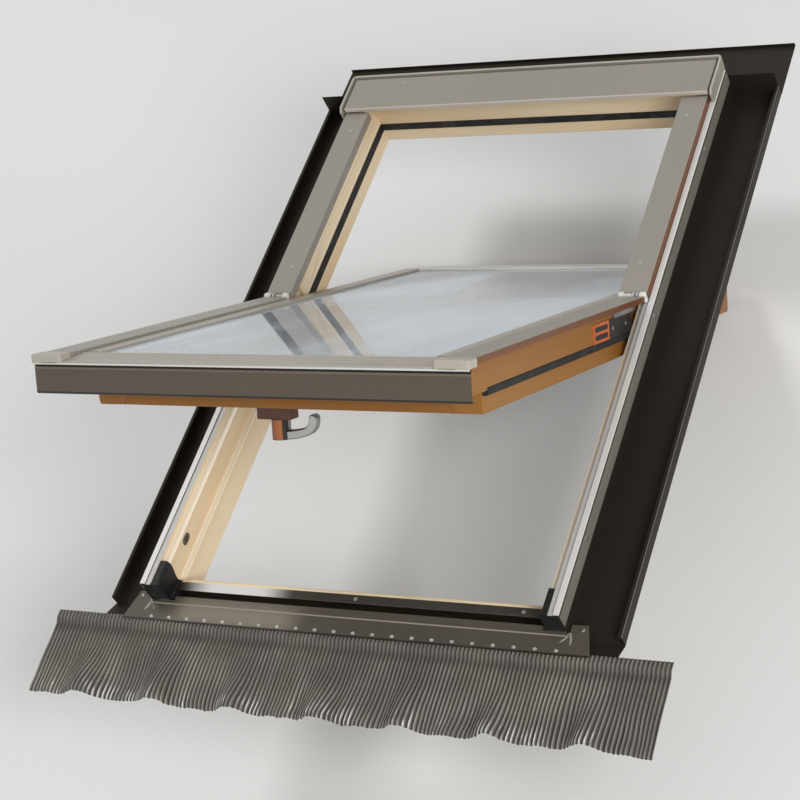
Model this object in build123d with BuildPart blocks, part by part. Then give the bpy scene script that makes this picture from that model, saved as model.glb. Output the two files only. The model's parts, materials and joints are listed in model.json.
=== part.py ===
from build123d import *
import os
from math import cos, hypot, pi, sqrt

# Centre-pivot roof window with its flashing, in millimetres. X is across the window, Y runs up
# the slope and Z stands square to the roof. The origin is the middle of the four bracket screws,
# on the battens. Heights (names ending in _H) are counted from the cover plane, the top of the
# side covers. The sash is drawn shut and swung open when it is written.

# Driving sizes of the window
FRAME_WIDTH = 780.0  # over the side claddings
FRAME_LENGTH = 1180.0  # over the ends of the side claddings
FRAME_BASE_H = -122.0  # underside of the frame
COVER_HEIGHT = 90.0  # cover plane above the battens
PIVOT_Y = 34.0  # pivot axis above the middle of the frame
OPEN_ANGLE = 42.5  # how far the sash stands open
SHEET = 1.0  # aluminium sheet of the claddings and flashings

# Frame timber: each stile steps out twice, to a low and a high ledge
STILE_WIDTH = 39.0
LOW_LEDGE = 9.0
LOW_LEDGE_H = -70.0
HIGH_LEDGE = 14.0
HIGH_LEDGE_H = -27.0
END_GAP = 4.0  # timber behind the ends of the claddings
HEAD_DEPTH = 36.0
SILL_DEPTH = 41.0
SILL_H = -66.0
STOP_START = 60.0  # the stop strips start this far above the pivot
SEAL_T = 2.0
SEAL_TOP_H = -76.0
SEAL_BASE_H = -92.0

# Claddings of the frame
LIP_H = -14.0  # top of the outer lip
LIP_STEP = 2.0  # the inner part of the lip lies lower
INNER_LIP = 9.0
WALL_BOTTOM_H = -46.0
SILL_NOSE = 22.0  # reach of the metal strip over the sill
SILL_DROP = 18.0  # height of its dark front
NOSE_RAKE = 3.0

# Side covers
COVER_WIDTH = 51.5
COVER_PLAY = 0.5  # between a cover flange and the step of the lip
PIVOT_GAP = 8.0  # from the pivot axis to each cover end
SASH_FLANGE = 10.0  # hanging flange of a sash cover

# Hood over the head
HOOD_DEPTH = 82.0  # from its lower edge, over the ends of the upper covers, to its rear wall
HOOD_TOP_H = 12.0
HOOD_LIP = 9.0
HOOD_BACK = 60.0  # rear wall
HOOD_R = 3.0
RIM_WIDTH = 4.5
RIM_GAP = 4.5
RIM_RISE = 1.5
RIM_TAIL = 4.0  # the rim starts this far below the hood
RIM_CUT = 8.0

# Brackets and flashing
FOOT_T = 2.0
FOOT_REACH = 62.0
BRACKET_LENGTH = 60.0
BRACKET_END = 170.0  # from the end of the frame to the middle of a bracket
BRACKET_RISE = 52.0
BRACKET_R = 3.0
SCREW_HOLE = 9.0
SCREW_REACH = 44.0  # bracket screw outside the frame timber
GUTTER_WIDTH = 90.0
GUTTER_UP = 57.0
GUTTER_EDGE = 22.0
HEM = 7.0
HEAD_FLASHING = 130.0
FLASHING_H = -64.5  # top of the sill flashing
FLASHING_PLAY = 2.0  # past the frame at each side
FLASHING_REACH = 33.0
FLASHING_SPLAY = 42.0
EAR_REACH = 28.0  # its corners lap round the frame
EAR_RISE = 16.0
FLASHING_LAP = 7.0  # lies on the apron
FLASHING_TUCK = 10.0  # its middle reaches up under the sill strip
CREASE_R = 2.0
CREASE_REACH = 5.0

# Pleated apron, dressed over the tiles
APRON_PAST = 93.5  # reach past the side gutters
APRON_LENGTH = 156.0
APRON_T = 1.2
APRON_STRAIGHT = 26.0  # the pleats run straight at first
APRON_DROP = 12.0
PLEAT_PITCH = 9.0
PLEAT_DEPTH = 3.0
TILE_PITCH = 155.0
TILE_CREST_X = 1.0
TILE_CREST_RISE = 22.0
TILE_STEEP = 36.0  # left flank of a crest
TILE_GENTLE = 56.0  # right flank

# Sash timber
SASH_PLAY = 3.0  # sash to frame at each side
SASH_END_PLAY = 4.0  # sash to head and to sill
SASH_WIDTH = 54.0
SASH_TOP_H = -10.0
SASH_TUCK_H = -19.0  # the upper stiles are lower, to pass under the cover lips
SASH_SHELF_H = -62.0  # underside of the wide lower half
SASH_BASE_H = -98.0
SASH_NOSE = 50.0  # reach past the lower end of the frame
SASH_BEVEL = 10.0
SASH_NOSE_CUT = 3.0  # the lower front edge is planed back to swing past the sill
TOP_RAIL_DEPTH = 56.0
BOTTOM_RAIL_DEPTH = 41.0
SASH_SEAL = 7.7
SEAL_LAP = 5.0  # laps up the side of the sash

# Glazing unit and beads
GLASS_TOP_H = -8.0
PANE = 4.0
CAVITY = 16.0
GLASS_SEAT = 20.0
GLASS_PLAY = 2.0
SPACER_WIDTH = 12.0
TAPE = 2.0
GLASS_SETBACK = 35.0  # from the front of the sash
BEAD_LAP = 13.0
BEAD_TOP_H = -4.0
BEAD_PLAY = 1.5  # glazing bead to cover lip
SILL_BEAD_LAP = 17.0

# Sash metal
FASCIA_T = 1.2
FASCIA_PAST = 2.5  # reach past the cover flanges
FASCIA_REACH = 8.0  # front of the fascia before the timber
RAIN_LIP = 13.0  # front of the rain lip before the timber
RAIN_LIP_H = -12.0
RAIN_LIP_DROP = 3.0
CAP_LENGTH = 25.0
CAP_RISE = 1.2
CAP_R = 4.0

# Pivot hinges
EAR_PLAY = 0.5
PIN_R = 4.5
PIN_PLAY = 0.05
PIN_HEAD = 1.5
PIN_HEAD_R = 6.5
PLATE_T = 2.5
PLATE_GAP = 2.5  # taken up by the friction washer
WASHER_PLAY = 0.3
PLATE_STAND = 4.0  # the sash plate stands off the timber
PLATE_TOP_H = -3.0
PLATE_BASE_H = -24.0
SASH_PLATE_REACH = 94.0
FRAME_PLATE_REACH = 52.0
SHOE_T = 2.0
SHOE_REACH = 163.0
SHOE_WALL = 5.0
PAD_REACH = 98.0

# Handle and barrel bolt
HANDLE_X = -21.0
HANDLE_SETBACK = 29.0  # from the lower end of the sash base
BASE_X = -26.0
BASE_LENGTH = 62.0
BASE_DEPTH = 26.0
BASE_RISE = 20.0
BASE_R = 3.0
LEVER_PLAY = 0.3
LEVER_REACH = 68.0
LEVER_DROP = 32.0
LEVER_T = 14.0
LEVER_DEPTH = 16.0
LEVER_R = 3.0
TIP_RISE = 9.0  # the tip curves up past the base
DRUM_R = 15.0
SPINDLE_R = 5.0
SPINDLE_LENGTH = 12.0
BOLT_SETBACK = 8.0  # bolt axis to the end of the top rail
BOLT_DROP = 6.5  # bolt axis below the top rail
BOLT_R = 3.5
BOLT_THROW = 18.0
BOLT_LENGTH = 62.0
BOLT_PLATE_T = 1.5
KEEP_H = -41.0
KEEP_R = 4.5
KEEP_LENGTH = 14.0

# Screws
SCREW_R = 4.0
SCREW_RISE = 1.6
SMALL_SCREW_R = 3.5
HOOD_SCREW_R = 3.0
COVER_SCREW_INSET = 22.0  # from the inner edge of the cover
COVER_SCREW_LOW = 73.0  # above the pivot
COVER_SCREW_TOP = 50.0  # below the hood
HOOD_SCREW_INSET = 116.0
HOOD_SCREW_TOP = 17.0
SILL_SCREW_INSET = 43.0
SILL_SCREW_BACK = 8.0
WALL_SCREW_DROP = 14.0  # below the top of the lip
WALL_SCREW_PIVOT = 21.0  # down the slope from the pivot
WALL_SCREW_LOW = 150.0  # from the lower end of the frame
WALL_SCREW_TOP = 190.0  # from its upper end

# Lines across the window, on the right-hand side, from the outside in
WALL_X = FRAME_WIDTH / 2
UPSTAND_X = WALL_X - 2 * SHEET
STILE_X = UPSTAND_X - FOOT_T
BAND_X = STILE_X - STILE_WIDTH
FACE_X = BAND_X + LOW_LEDGE
SHOULDER_X = FACE_X + HIGH_LEDGE
STEP_X = SHOULDER_X + INNER_LIP
COVER_X = STEP_X - COVER_PLAY
COVER_IN_X = COVER_X - COVER_WIDTH
BEAD_X = COVER_IN_X - BEAD_PLAY
SASH_LOW_X = FACE_X - SASH_PLAY
SASH_UP_X = BAND_X - SASH_PLAY
SASH_IN_X = SASH_UP_X - SASH_WIDTH
GLASS_X = SASH_IN_X + GLASS_SEAT
REBATE_X = GLASS_X + GLASS_PLAY
FASCIA_HALF = COVER_X + FASCIA_PAST
GUTTER_X = UPSTAND_X + GUTTER_WIDTH
FLASHING_INNER = WALL_X + FLASHING_PLAY
APRON_HALF = GUTTER_X + APRON_PAST

# Lines along the slope
END_Y = FRAME_LENGTH / 2
TIMBER_Y = END_Y - END_GAP
HEAD_Y = TIMBER_Y - HEAD_DEPTH
SILL_Y = SILL_DEPTH - TIMBER_Y
NOSE_Y = SILL_Y - SILL_NOSE
SASH_TOP_Y = HEAD_Y - SASH_END_PLAY
SASH_STEP_Y = SILL_Y + SASH_END_PLAY
SASH_FRONT_Y = -END_Y - SASH_NOSE
GLASS_TOP_Y = SASH_TOP_Y - TOP_RAIL_DEPTH + GLASS_SEAT
GLASS_BOTTOM_Y = SASH_FRONT_Y + GLASS_SETBACK
HANDLE_Y = SASH_STEP_Y + HANDLE_SETBACK
BOLT_Y = SASH_TOP_Y - BOLT_SETBACK
SASH_COVER_Y = PIVOT_Y - PIVOT_GAP
CAP_Y = SASH_FRONT_Y - RAIN_LIP + CAP_LENGTH
HOOD_BACK_Y = TIMBER_Y + 3 * SHEET
COVER_END_Y = HOOD_BACK_Y - HOOD_DEPTH
RIM_Y = HOOD_BACK_Y + RIM_GAP
BRACKET_Y = END_Y - BRACKET_END
FLASHING_Y = -END_Y - SHEET
APRON_Y = FLASHING_Y - FLASHING_REACH - SHEET

# Heights
LIP_IN_H = LIP_H - LIP_STEP
TIMBER_H = LIP_IN_H - SHEET
FLOOR_H = FOOT_T - COVER_HEIGHT
GLASS_BASE_H = GLASS_TOP_H - 2 * PANE - CAVITY
REBATE_H = GLASS_BASE_H - TAPE
FRONT_H = RAIN_LIP_H - FASCIA_T

# Where the bolt, turned over with the sash, meets its keep in the frame
BOLT_H = SASH_BASE_H - BOLT_DROP
BOLT_SWING = hypot(BOLT_Y - PIVOT_Y, BOLT_H)
KEEP_Y = PIVOT_Y - sqrt(BOLT_SWING**2 - KEEP_H**2)

PIVOT = Axis((0, PIVOT_Y, COVER_HEIGHT), (1, 0, 0))


def across(y):
    """Plane square to the slope at y, facing down it: local x is X, local y the height."""
    return Plane(origin=(0, y, COVER_HEIGHT), x_dir=(1, 0, 0), z_dir=(0, -1, 0))


def along(x):
    """Plane square to X at x: local x is Y, local y the height."""
    return Plane(origin=(x, 0, COVER_HEIGHT), x_dir=(0, 1, 0), z_dir=(1, 0, 0))


def level(height):
    """Plane parallel to the roof at a height."""
    return Plane.XY.offset(COVER_HEIGHT + height)


def save(piece, name):
    """Label a piece and write it."""
    piece.label = name
    export_step(piece, f"parts/{name}.step")


def save_sash(piece, name):
    """Swing a piece of the sash open and write it."""
    save(piece.rotate(PIVOT, -OPEN_ANGLE), name)


def pair(piece):
    """A right-hand piece with its mirror image."""
    with BuildPart() as both:
        add(piece)
        mirror(about=Plane.YZ)
    return both.part


def bar(plane, outline, length):
    """Solid bar: a closed outline run for a length."""
    with BuildPart() as solid:
        with BuildSketch(plane):
            with BuildLine():
                Polyline(*outline, close=True)
            make_face()
        extrude(amount=length)
    return solid.part


def folded(plane, line, length, inside=Side.RIGHT, thickness=SHEET, bend=1.5):
    """Sheet folded along an open line, with rounded bends, and run for a length."""
    with BuildPart() as sheet:
        with BuildSketch(plane):
            with BuildLine():
                FilletPolyline(*line, radius=bend)
                offset(amount=thickness, side=inside, kind=Kind.INTERSECTION)
            make_face()
        extrude(amount=length)
    return sheet.part


def full_width(half):
    """Closed outline across the window from its right-hand half, listed downwards."""
    return half + [(-x, h) for x, h in reversed(half)]


def screw_heads(plane, places, radius=SCREW_R, rise=SCREW_RISE):
    """Domed screw heads seated on a plane."""
    with BuildPart() as heads:
        with BuildSketch(plane):
            with Locations(*places):
                Circle(radius)
        extrude(amount=rise)
        fillet(heads.edges().group_by(Axis((0, 0, 0), plane.z_dir))[-1], radius=0.8 * rise)
    return heads.part


os.makedirs("parts", exist_ok=True)

# Frame stiles: stepped timber; the left one has the two keeps of the barrel bolt
with BuildPart() as stile:
    with BuildSketch(across(TIMBER_Y)):
        with BuildLine():
            Polyline(
                (STILE_X, TIMBER_H),
                (SHOULDER_X, TIMBER_H),
                (SHOULDER_X, HIGH_LEDGE_H),
                (FACE_X, HIGH_LEDGE_H),
                (FACE_X, LOW_LEDGE_H),
                (BAND_X, LOW_LEDGE_H),
                (BAND_X, FRAME_BASE_H),
                (STILE_X, FRAME_BASE_H),
                close=True,
            )
        make_face()
    extrude(amount=2 * TIMBER_Y)
save(stile.part, "frame_stile_right")

with BuildPart() as left_stile:
    add(mirror(stile.part, about=Plane.YZ))
    with BuildSketch(along(-FACE_X)):
        with Locations((KEEP_Y, KEEP_H)):
            SlotOverall(KEEP_LENGTH, 2 * KEEP_R)
    extrude(amount=-0.5 * BOLT_THROW, mode=Mode.SUBTRACT)
    with BuildSketch(along(-BAND_X)):
        with Locations((BOLT_Y, BOLT_H)):
            Circle(KEEP_R)
    extrude(amount=-BOLT_THROW, mode=Mode.SUBTRACT)
save(left_stile.part, "frame_stile_left")

# Head and sill: their ends follow the steps of the stiles
head = bar(
    across(TIMBER_Y),
    full_width(
        [
            (SHOULDER_X, TIMBER_H),
            (SHOULDER_X, HIGH_LEDGE_H),
            (FACE_X, HIGH_LEDGE_H),
            (FACE_X, LOW_LEDGE_H),
            (BAND_X, LOW_LEDGE_H),
            (BAND_X, FRAME_BASE_H),
        ]
    ),
    HEAD_DEPTH,
)
save(head, "frame_head")

with BuildPart() as sill:
    add(
        bar(
            across(SILL_Y),
            full_width([(FACE_X, SILL_H), (FACE_X, LOW_LEDGE_H), (BAND_X, LOW_LEDGE_H), (BAND_X, FRAME_BASE_H)]),
            SILL_DEPTH,
        )
    )
    with BuildSketch(along(0)):
        with Locations((NOSE_Y + 2 * SHEET, SILL_H - SILL_DROP - SHEET)):
            Rectangle(SILL_DEPTH, 2 * SILL_DROP, align=(Align.MAX, Align.MIN))
    extrude(amount=WALL_X, both=True, mode=Mode.SUBTRACT)
save(sill.part, "frame_sill")

# Stop strips: they fill the steps of the stiles above the pivot
stop = bar(
    across(HEAD_Y),
    [
        (SHOULDER_X, TIMBER_H),
        (SHOULDER_X, HIGH_LEDGE_H),
        (FACE_X, HIGH_LEDGE_H),
        (FACE_X, LOW_LEDGE_H),
        (BAND_X, LOW_LEDGE_H),
        (BAND_X, TIMBER_H),
    ],
    HEAD_Y - PIVOT_Y - STOP_START,
)
save(pair(stop), "frame_stop_strips")

# Frame seal: round the head and the upper stiles
with BuildPart() as frame_seal:
    with BuildSketch(level(SEAL_BASE_H)):
        with Locations((0, HEAD_Y)):
            Rectangle(2 * BAND_X, HEAD_Y - PIVOT_Y - STOP_START, align=(Align.CENTER, Align.MAX))
        with Locations((0, HEAD_Y - SEAL_T)):
            Rectangle(2 * (BAND_X - SEAL_T), HEAD_Y, align=(Align.CENTER, Align.MAX), mode=Mode.SUBTRACT)
    extrude(amount=SEAL_TOP_H - SEAL_BASE_H)
save(frame_seal.part, "frame_seal")

# Side claddings: a stepped lip on the timber, then down the outside
with BuildPart() as cladding:
    with BuildSketch(across(TIMBER_Y)):
        with BuildLine():
            Polyline(
                (SHOULDER_X, LIP_IN_H),
                (STEP_X, LIP_IN_H),
                (STEP_X, LIP_H),
                (WALL_X, LIP_H),
                (WALL_X, WALL_BOTTOM_H),
            )
            offset(amount=SHEET, side=Side.RIGHT, kind=Kind.INTERSECTION)
        make_face()
    extrude(amount=TIMBER_Y + END_Y)
    fillet(cladding.edges().filter_by(Axis.Y).sort_by_distance((WALL_X, 0, COVER_HEIGHT + LIP_H))[0], 1.5 * SHEET)
save(pair(cladding.part), "side_claddings")

# Sill cladding: a strip over the timber with a raked front
sill_strip = folded(
    along(-BAND_X + SHEET),
    [
        (SILL_Y - 2 * SHEET, SILL_H + SHEET),
        (NOSE_Y, SILL_H + SHEET),
        (NOSE_Y - NOSE_RAKE, SILL_H + SHEET - SILL_DROP),
    ],
    2 * (BAND_X - SHEET),
    inside=Side.LEFT,
)
save(sill_strip, "sill_cladding")

# Corner blocks: they line the steps where stile and sill meet, with a curved inner edge, close
# the timber ends and cover the bare timber beside the sill strip
BLOCK_T = 2.0
BLOCK_Y = SILL_Y + 5.0
BLOCK_TOP_H = HIGH_LEDGE_H + 9.0
BLOCK_CURVE = 8.0
with BuildPart() as block:
    add(
        bar(
            across(BLOCK_Y),
            [
                (SHOULDER_X, BLOCK_TOP_H),
                (SHOULDER_X, HIGH_LEDGE_H),
                (FACE_X, HIGH_LEDGE_H),
                (FACE_X, SILL_H),
                (BAND_X - SHEET, SILL_H),
                (BAND_X - SHEET, SILL_H + SHEET),
                (FACE_X - 2.5 * BLOCK_T, SILL_H + SHEET),
                (FACE_X - BLOCK_T, SASH_SHELF_H - SHEET),
                (FACE_X - BLOCK_T, HIGH_LEDGE_H + BLOCK_T),
                (FACE_X + BLOCK_T, BLOCK_TOP_H),
            ],
            BLOCK_Y + TIMBER_Y,
        )
    )
    with BuildSketch(along(BAND_X - 2 * SHEET)):
        with BuildLine():
            Spline(
                (BLOCK_Y, HIGH_LEDGE_H + BLOCK_T),
                (BLOCK_Y - BLOCK_CURVE, SASH_SHELF_H),
                tangents=((0, -1), (0, -1)),
            )
            Polyline(
                (BLOCK_Y - BLOCK_CURVE, SASH_SHELF_H),
                (BLOCK_Y - BLOCK_CURVE, SILL_H),
                (BLOCK_Y + BLOCK_T, SILL_H),
                (BLOCK_Y + BLOCK_T, HIGH_LEDGE_H + BLOCK_T),
                (BLOCK_Y, HIGH_LEDGE_H + BLOCK_T),
            )
        make_face()
    extrude(amount=FACE_X - BAND_X + 2 * SHEET, mode=Mode.SUBTRACT)
    with BuildSketch(across(-TIMBER_Y)):
        with Locations((FACE_X - BLOCK_T, TIMBER_H)):
            Rectangle(UPSTAND_X - FACE_X + BLOCK_T, TIMBER_H - LOW_LEDGE_H, align=(Align.MIN, Align.MAX))
        with Locations((BAND_X - SHEET, SILL_H + SHEET)):
            Rectangle(UPSTAND_X - BAND_X + SHEET, SILL_DROP + 2 * SHEET, align=(Align.MIN, Align.MAX))
    extrude(amount=END_GAP - COVER_PLAY)
    with BuildSketch(along(BAND_X - SHEET)):
        with Locations((NOSE_Y + 2 * SHEET, SILL_H + SHEET)):
            Rectangle(NOSE_Y + 2 * SHEET + TIMBER_Y, SILL_DROP + 2 * SHEET, align=(Align.MAX, Align.MAX))
    extrude(amount=SHEET)
save(pair(block.part), "corner_blocks")

# Upper side covers, fixed to the stop strips and the cladding lips
upper_cover = folded(
    across(COVER_END_Y),
    [(COVER_IN_X, TIMBER_H), (COVER_IN_X, 0), (COVER_X, 0), (COVER_X, LIP_IN_H)],
    COVER_END_Y - PIVOT_Y - PIVOT_GAP,
)
save(pair(upper_cover), "upper_covers")

# Hood over the head, open below, with a turned-down front lip and a deep rear wall
with BuildPart() as hood:
    with BuildSketch(level(LIP_IN_H)):
        with Locations((0, COVER_END_Y)):
            Rectangle(2 * STEP_X, HOOD_BACK_Y - COVER_END_Y, align=(Align.CENTER, Align.MIN))
    extrude(amount=HOOD_TOP_H - LIP_IN_H)
    fillet(hood.edges().group_by(Axis.Z)[-1] + hood.edges().filter_by(Axis.Z), HOOD_R)
    offset(amount=-SHEET, openings=hood.faces().sort_by(Axis.Z)[0])
    with BuildSketch(across(COVER_END_Y)):
        with Locations((0, HOOD_TOP_H - HOOD_LIP)):
            Rectangle(2 * WALL_X, FRAME_WIDTH, align=(Align.CENTER, Align.MAX))
    extrude(amount=-HOOD_R, mode=Mode.SUBTRACT)
    with BuildSketch(level(LIP_IN_H)):
        with Locations((0, HOOD_BACK_Y)):
            Rectangle(2 * (STEP_X - HOOD_R), SHEET, align=(Align.CENTER, Align.MAX))
    extrude(amount=HOOD_TOP_H - HOOD_BACK - LIP_IN_H)
save(hood.part, "hood")

# Raised rim round the back and both sides of the hood
with BuildPart() as rim:
    with BuildSketch(level(LIP_H)) as rim_plan:
        with Locations((0, COVER_END_Y - RIM_TAIL)):
            Rectangle(
                2 * (STEP_X + RIM_GAP + RIM_WIDTH),
                RIM_Y + RIM_WIDTH - COVER_END_Y + RIM_TAIL,
                align=(Align.CENTER, Align.MIN),
            )
        fillet(rim_plan.vertices().group_by(Axis.Y)[-1], 2 * RIM_WIDTH)
        with Locations((0, COVER_END_Y - RIM_TAIL)):
            Rectangle(
                2 * (STEP_X + RIM_GAP),
                RIM_Y - COVER_END_Y + RIM_TAIL,
                align=(Align.CENTER, Align.MIN),
                mode=Mode.SUBTRACT,
            )
    extrude(amount=HOOD_TOP_H + RIM_RISE - LIP_H)
    chamfer(rim.edges().filter_by(Axis.X).group_by(Axis.Z)[-1].group_by(Axis.Y)[0], RIM_CUT)
save(rim.part, "hood_rim")

# Roof brackets: bent steel, screwed to the battens
with BuildPart() as bracket:
    add(
        folded(
            across(BRACKET_Y + BRACKET_LENGTH / 2),
            [
                (STILE_X, BRACKET_RISE - COVER_HEIGHT),
                (STILE_X, -COVER_HEIGHT),
                (STILE_X + FOOT_REACH, -COVER_HEIGHT),
            ],
            BRACKET_LENGTH,
            inside=Side.LEFT,
            thickness=FOOT_T,
            bend=BRACKET_R,
        )
    )
    with BuildSketch(level(-COVER_HEIGHT)):
        with Locations((STILE_X + SCREW_REACH, BRACKET_Y)):
            Circle(SCREW_HOLE / 2)
    extrude(amount=2 * FOOT_T, mode=Mode.SUBTRACT)
with BuildPart() as brackets:
    add(pair(bracket.part))
    mirror(about=Plane.XZ)
save(brackets.part, "brackets")

# Side flashings: an upstand behind the cladding, a gutter and a hemmed outer edge, with a ramp
# that lifts the water on to the apron
with BuildPart() as side_flashing:
    add(
        folded(
            across(HOOD_BACK_Y),
            [
                (UPSTAND_X, FLOOR_H + GUTTER_UP),
                (UPSTAND_X, FLOOR_H),
                (GUTTER_X, FLOOR_H),
                (GUTTER_X, FLOOR_H + GUTTER_EDGE),
                (GUTTER_X - HEM, FLOOR_H + GUTTER_EDGE),
            ],
            HOOD_BACK_Y - FLASHING_Y,
        )
    )
    add(
        bar(
            along(FLASHING_INNER),
            [
                (FLASHING_Y, FLOOR_H),
                (FLASHING_Y, FLOOR_H + SHEET),
                (APRON_Y + SHEET, FLASHING_H - 6 * SHEET),
                (APRON_Y + SHEET, FLASHING_H - 7 * SHEET),
            ],
            GUTTER_X - FLASHING_INNER,
        )
    )
save(pair(side_flashing.part), "side_flashings")

# Head flashing: a flat tray behind the hood with an upstand and a stiffened edge
head_flashing = folded(
    along(-GUTTER_X),
    [
        (HOOD_BACK_Y, FLOOR_H + GUTTER_UP),
        (HOOD_BACK_Y, FLOOR_H),
        (HOOD_BACK_Y + HEAD_FLASHING, FLOOR_H),
        (HOOD_BACK_Y + HEAD_FLASHING, FLOOR_H + HEM),
    ],
    2 * GUTTER_X,
    inside=Side.LEFT,
)
save(head_flashing, "head_flashing")

# Sill flashing: a flat sheet that splays outwards, with a pressed crease; its corners lap round
# the frame, and its middle reaches up between the corner blocks and stands on the sill
TUCK_X = BAND_X - 2 * SHEET
with BuildPart() as sill_flashing:
    with BuildSketch(level(FLASHING_H - SHEET)):
        with BuildLine():
            Polyline(
                (-FLASHING_INNER, FLASHING_Y),
                (FLASHING_INNER, FLASHING_Y),
                (FLASHING_INNER, FLASHING_Y + EAR_RISE),
                (FLASHING_INNER + EAR_REACH, FLASHING_Y + EAR_RISE),
                (FLASHING_INNER + FLASHING_SPLAY, FLASHING_Y - FLASHING_REACH),
                (FLASHING_INNER + FLASHING_SPLAY, FLASHING_Y - FLASHING_REACH - FLASHING_LAP),
                (-FLASHING_INNER - FLASHING_SPLAY, FLASHING_Y - FLASHING_REACH - FLASHING_LAP),
                (-FLASHING_INNER - FLASHING_SPLAY, FLASHING_Y - FLASHING_REACH),
                (-FLASHING_INNER - EAR_REACH, FLASHING_Y + EAR_RISE),
                (-FLASHING_INNER, FLASHING_Y + EAR_RISE),
                close=True,
            )
        make_face()
        with Locations((0, FLASHING_Y)):
            Rectangle(2 * TUCK_X, FLASHING_TUCK, align=(Align.CENTER, Align.MIN))
    extrude(amount=SHEET)
    with BuildSketch(along(-TUCK_X)):
        with Locations((FLASHING_Y + FLASHING_TUCK, FLASHING_H)):
            Rectangle(SHEET, FLASHING_H - SILL_H + SILL_DROP + SHEET, align=(Align.MAX, Align.MAX))
    extrude(amount=2 * TUCK_X)
    with BuildSketch(along(-FLASHING_INNER)):
        with Locations((FLASHING_Y - CREASE_REACH, FLASHING_H - SHEET)):
            Circle(CREASE_R)
            Rectangle(2 * CREASE_R, 2 * CREASE_R, align=(Align.CENTER, Align.MAX), mode=Mode.SUBTRACT)
    extrude(amount=2 * FLASHING_INNER)
save(sill_flashing.part, "sill_flashing")


def tile_rise(x):
    """Height of the dressed apron over the tile crests, steep on the left of each."""
    off = (x - TILE_CREST_X + TILE_PITCH / 2) % TILE_PITCH - TILE_PITCH / 2
    flank = TILE_STEEP if off < 0 else TILE_GENTLE
    if abs(off) > flank:
        return 0.0
    return TILE_CREST_RISE * cos(pi * off / (2 * flank)) ** 2


def dressed_x(folds):
    """Where each fold ends when the pleats share out the longer way over the tiles."""
    steps = [i - APRON_HALF for i in range(int(2 * APRON_HALF) + 1)]
    way = [0.0]
    for a, b in zip(steps, steps[1:]):
        way.append(way[-1] + hypot(b - a, tile_rise(b) - tile_rise(a)))
    placed = []
    at = 0
    for i in range(folds + 1):
        share = way[-1] * i / folds
        while at < len(way) - 2 and way[at + 1] < share:
            at += 1
        placed.append(steps[at] + (share - way[at]) / (way[at + 1] - way[at]))
    return placed


def pleats(xs, height):
    """Closed zigzag outline through xs: up and down by the pleat depth, then back below."""
    top = []
    for i, x in enumerate(xs):
        top.append((x, height(x) - PLEAT_DEPTH * (i % 2)))
    return top + [(x, h - APRON_T) for x, h in reversed(top)]


# Apron: straight pleats under the flashing, then fanned out over the tiles
FOLDS = 2 * round(APRON_HALF / PLEAT_PITCH) * 2
APRON_TOP_H = FLASHING_H - SHEET
straight_x = [2 * APRON_HALF * i / FOLDS - APRON_HALF for i in range(FOLDS + 1)]
with BuildPart() as apron:
    with BuildSketch(across(APRON_Y)):
        with BuildLine():
            Polyline(*pleats(straight_x, lambda x: APRON_TOP_H), close=True)
        make_face()
    with BuildSketch(across(APRON_Y - APRON_STRAIGHT)):
        with BuildLine():
            Polyline(*pleats(straight_x, lambda x: APRON_TOP_H - 0.1 * APRON_DROP), close=True)
        make_face()
    with BuildSketch(across(APRON_Y - APRON_LENGTH)):
        with BuildLine():
            Polyline(*pleats(dressed_x(FOLDS), lambda x: APRON_TOP_H - APRON_DROP + tile_rise(x)), close=True)
        make_face()
    loft(ruled=True)
save(apron.part, "pleated_apron")

# Sash stiles: wide below the pivot, narrow above it, cut back over the sill
with BuildPart() as sash_stile:
    add(
        bar(
            across(SASH_COVER_Y),
            [
                (SASH_LOW_X, SASH_TOP_H),
                (SASH_LOW_X, SASH_SHELF_H),
                (SASH_UP_X, SASH_SHELF_H),
                (SASH_UP_X, SASH_BASE_H),
                (SASH_IN_X + SASH_BEVEL, SASH_BASE_H),
                (SASH_IN_X, SASH_BASE_H + SASH_BEVEL),
                (SASH_IN_X, REBATE_H),
                (REBATE_X, REBATE_H),
                (REBATE_X, SASH_TOP_H),
            ],
            SASH_COVER_Y - SASH_FRONT_Y,
        )
    )
    add(
        bar(
            across(SASH_TOP_Y),
            [
                (BEAD_X, SASH_TOP_H),
                (BEAD_X, SASH_TUCK_H),
                (SASH_UP_X, SASH_TUCK_H),
                (SASH_UP_X, SASH_BASE_H),
                (SASH_IN_X + SASH_BEVEL, SASH_BASE_H),
                (SASH_IN_X, SASH_BASE_H + SASH_BEVEL),
                (SASH_IN_X, REBATE_H),
                (REBATE_X, REBATE_H),
                (REBATE_X, SASH_TOP_H),
            ],
            SASH_TOP_Y - SASH_COVER_Y,
        )
    )
    with BuildSketch(along(0)):
        with BuildLine():
            Polyline(
                (SASH_FRONT_Y, SASH_SHELF_H),
                (SASH_STEP_Y, SASH_SHELF_H),
                (SASH_STEP_Y, SASH_BASE_H + SASH_BEVEL),
                (SASH_STEP_Y + SASH_NOSE_CUT, SASH_BASE_H),
                (SASH_FRONT_Y, SASH_BASE_H),
                close=True,
            )
        make_face()
        with Locations((GLASS_BOTTOM_Y - GLASS_PLAY, FRONT_H)):
            Rectangle(FRAME_LENGTH, FRAME_WIDTH, align=(Align.MAX, Align.MIN))
    extrude(amount=WALL_X, mode=Mode.SUBTRACT)
save_sash(sash_stile.part, "sash_stile_right")
save_sash(mirror(sash_stile.part, about=Plane.YZ), "sash_stile_left")

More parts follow.
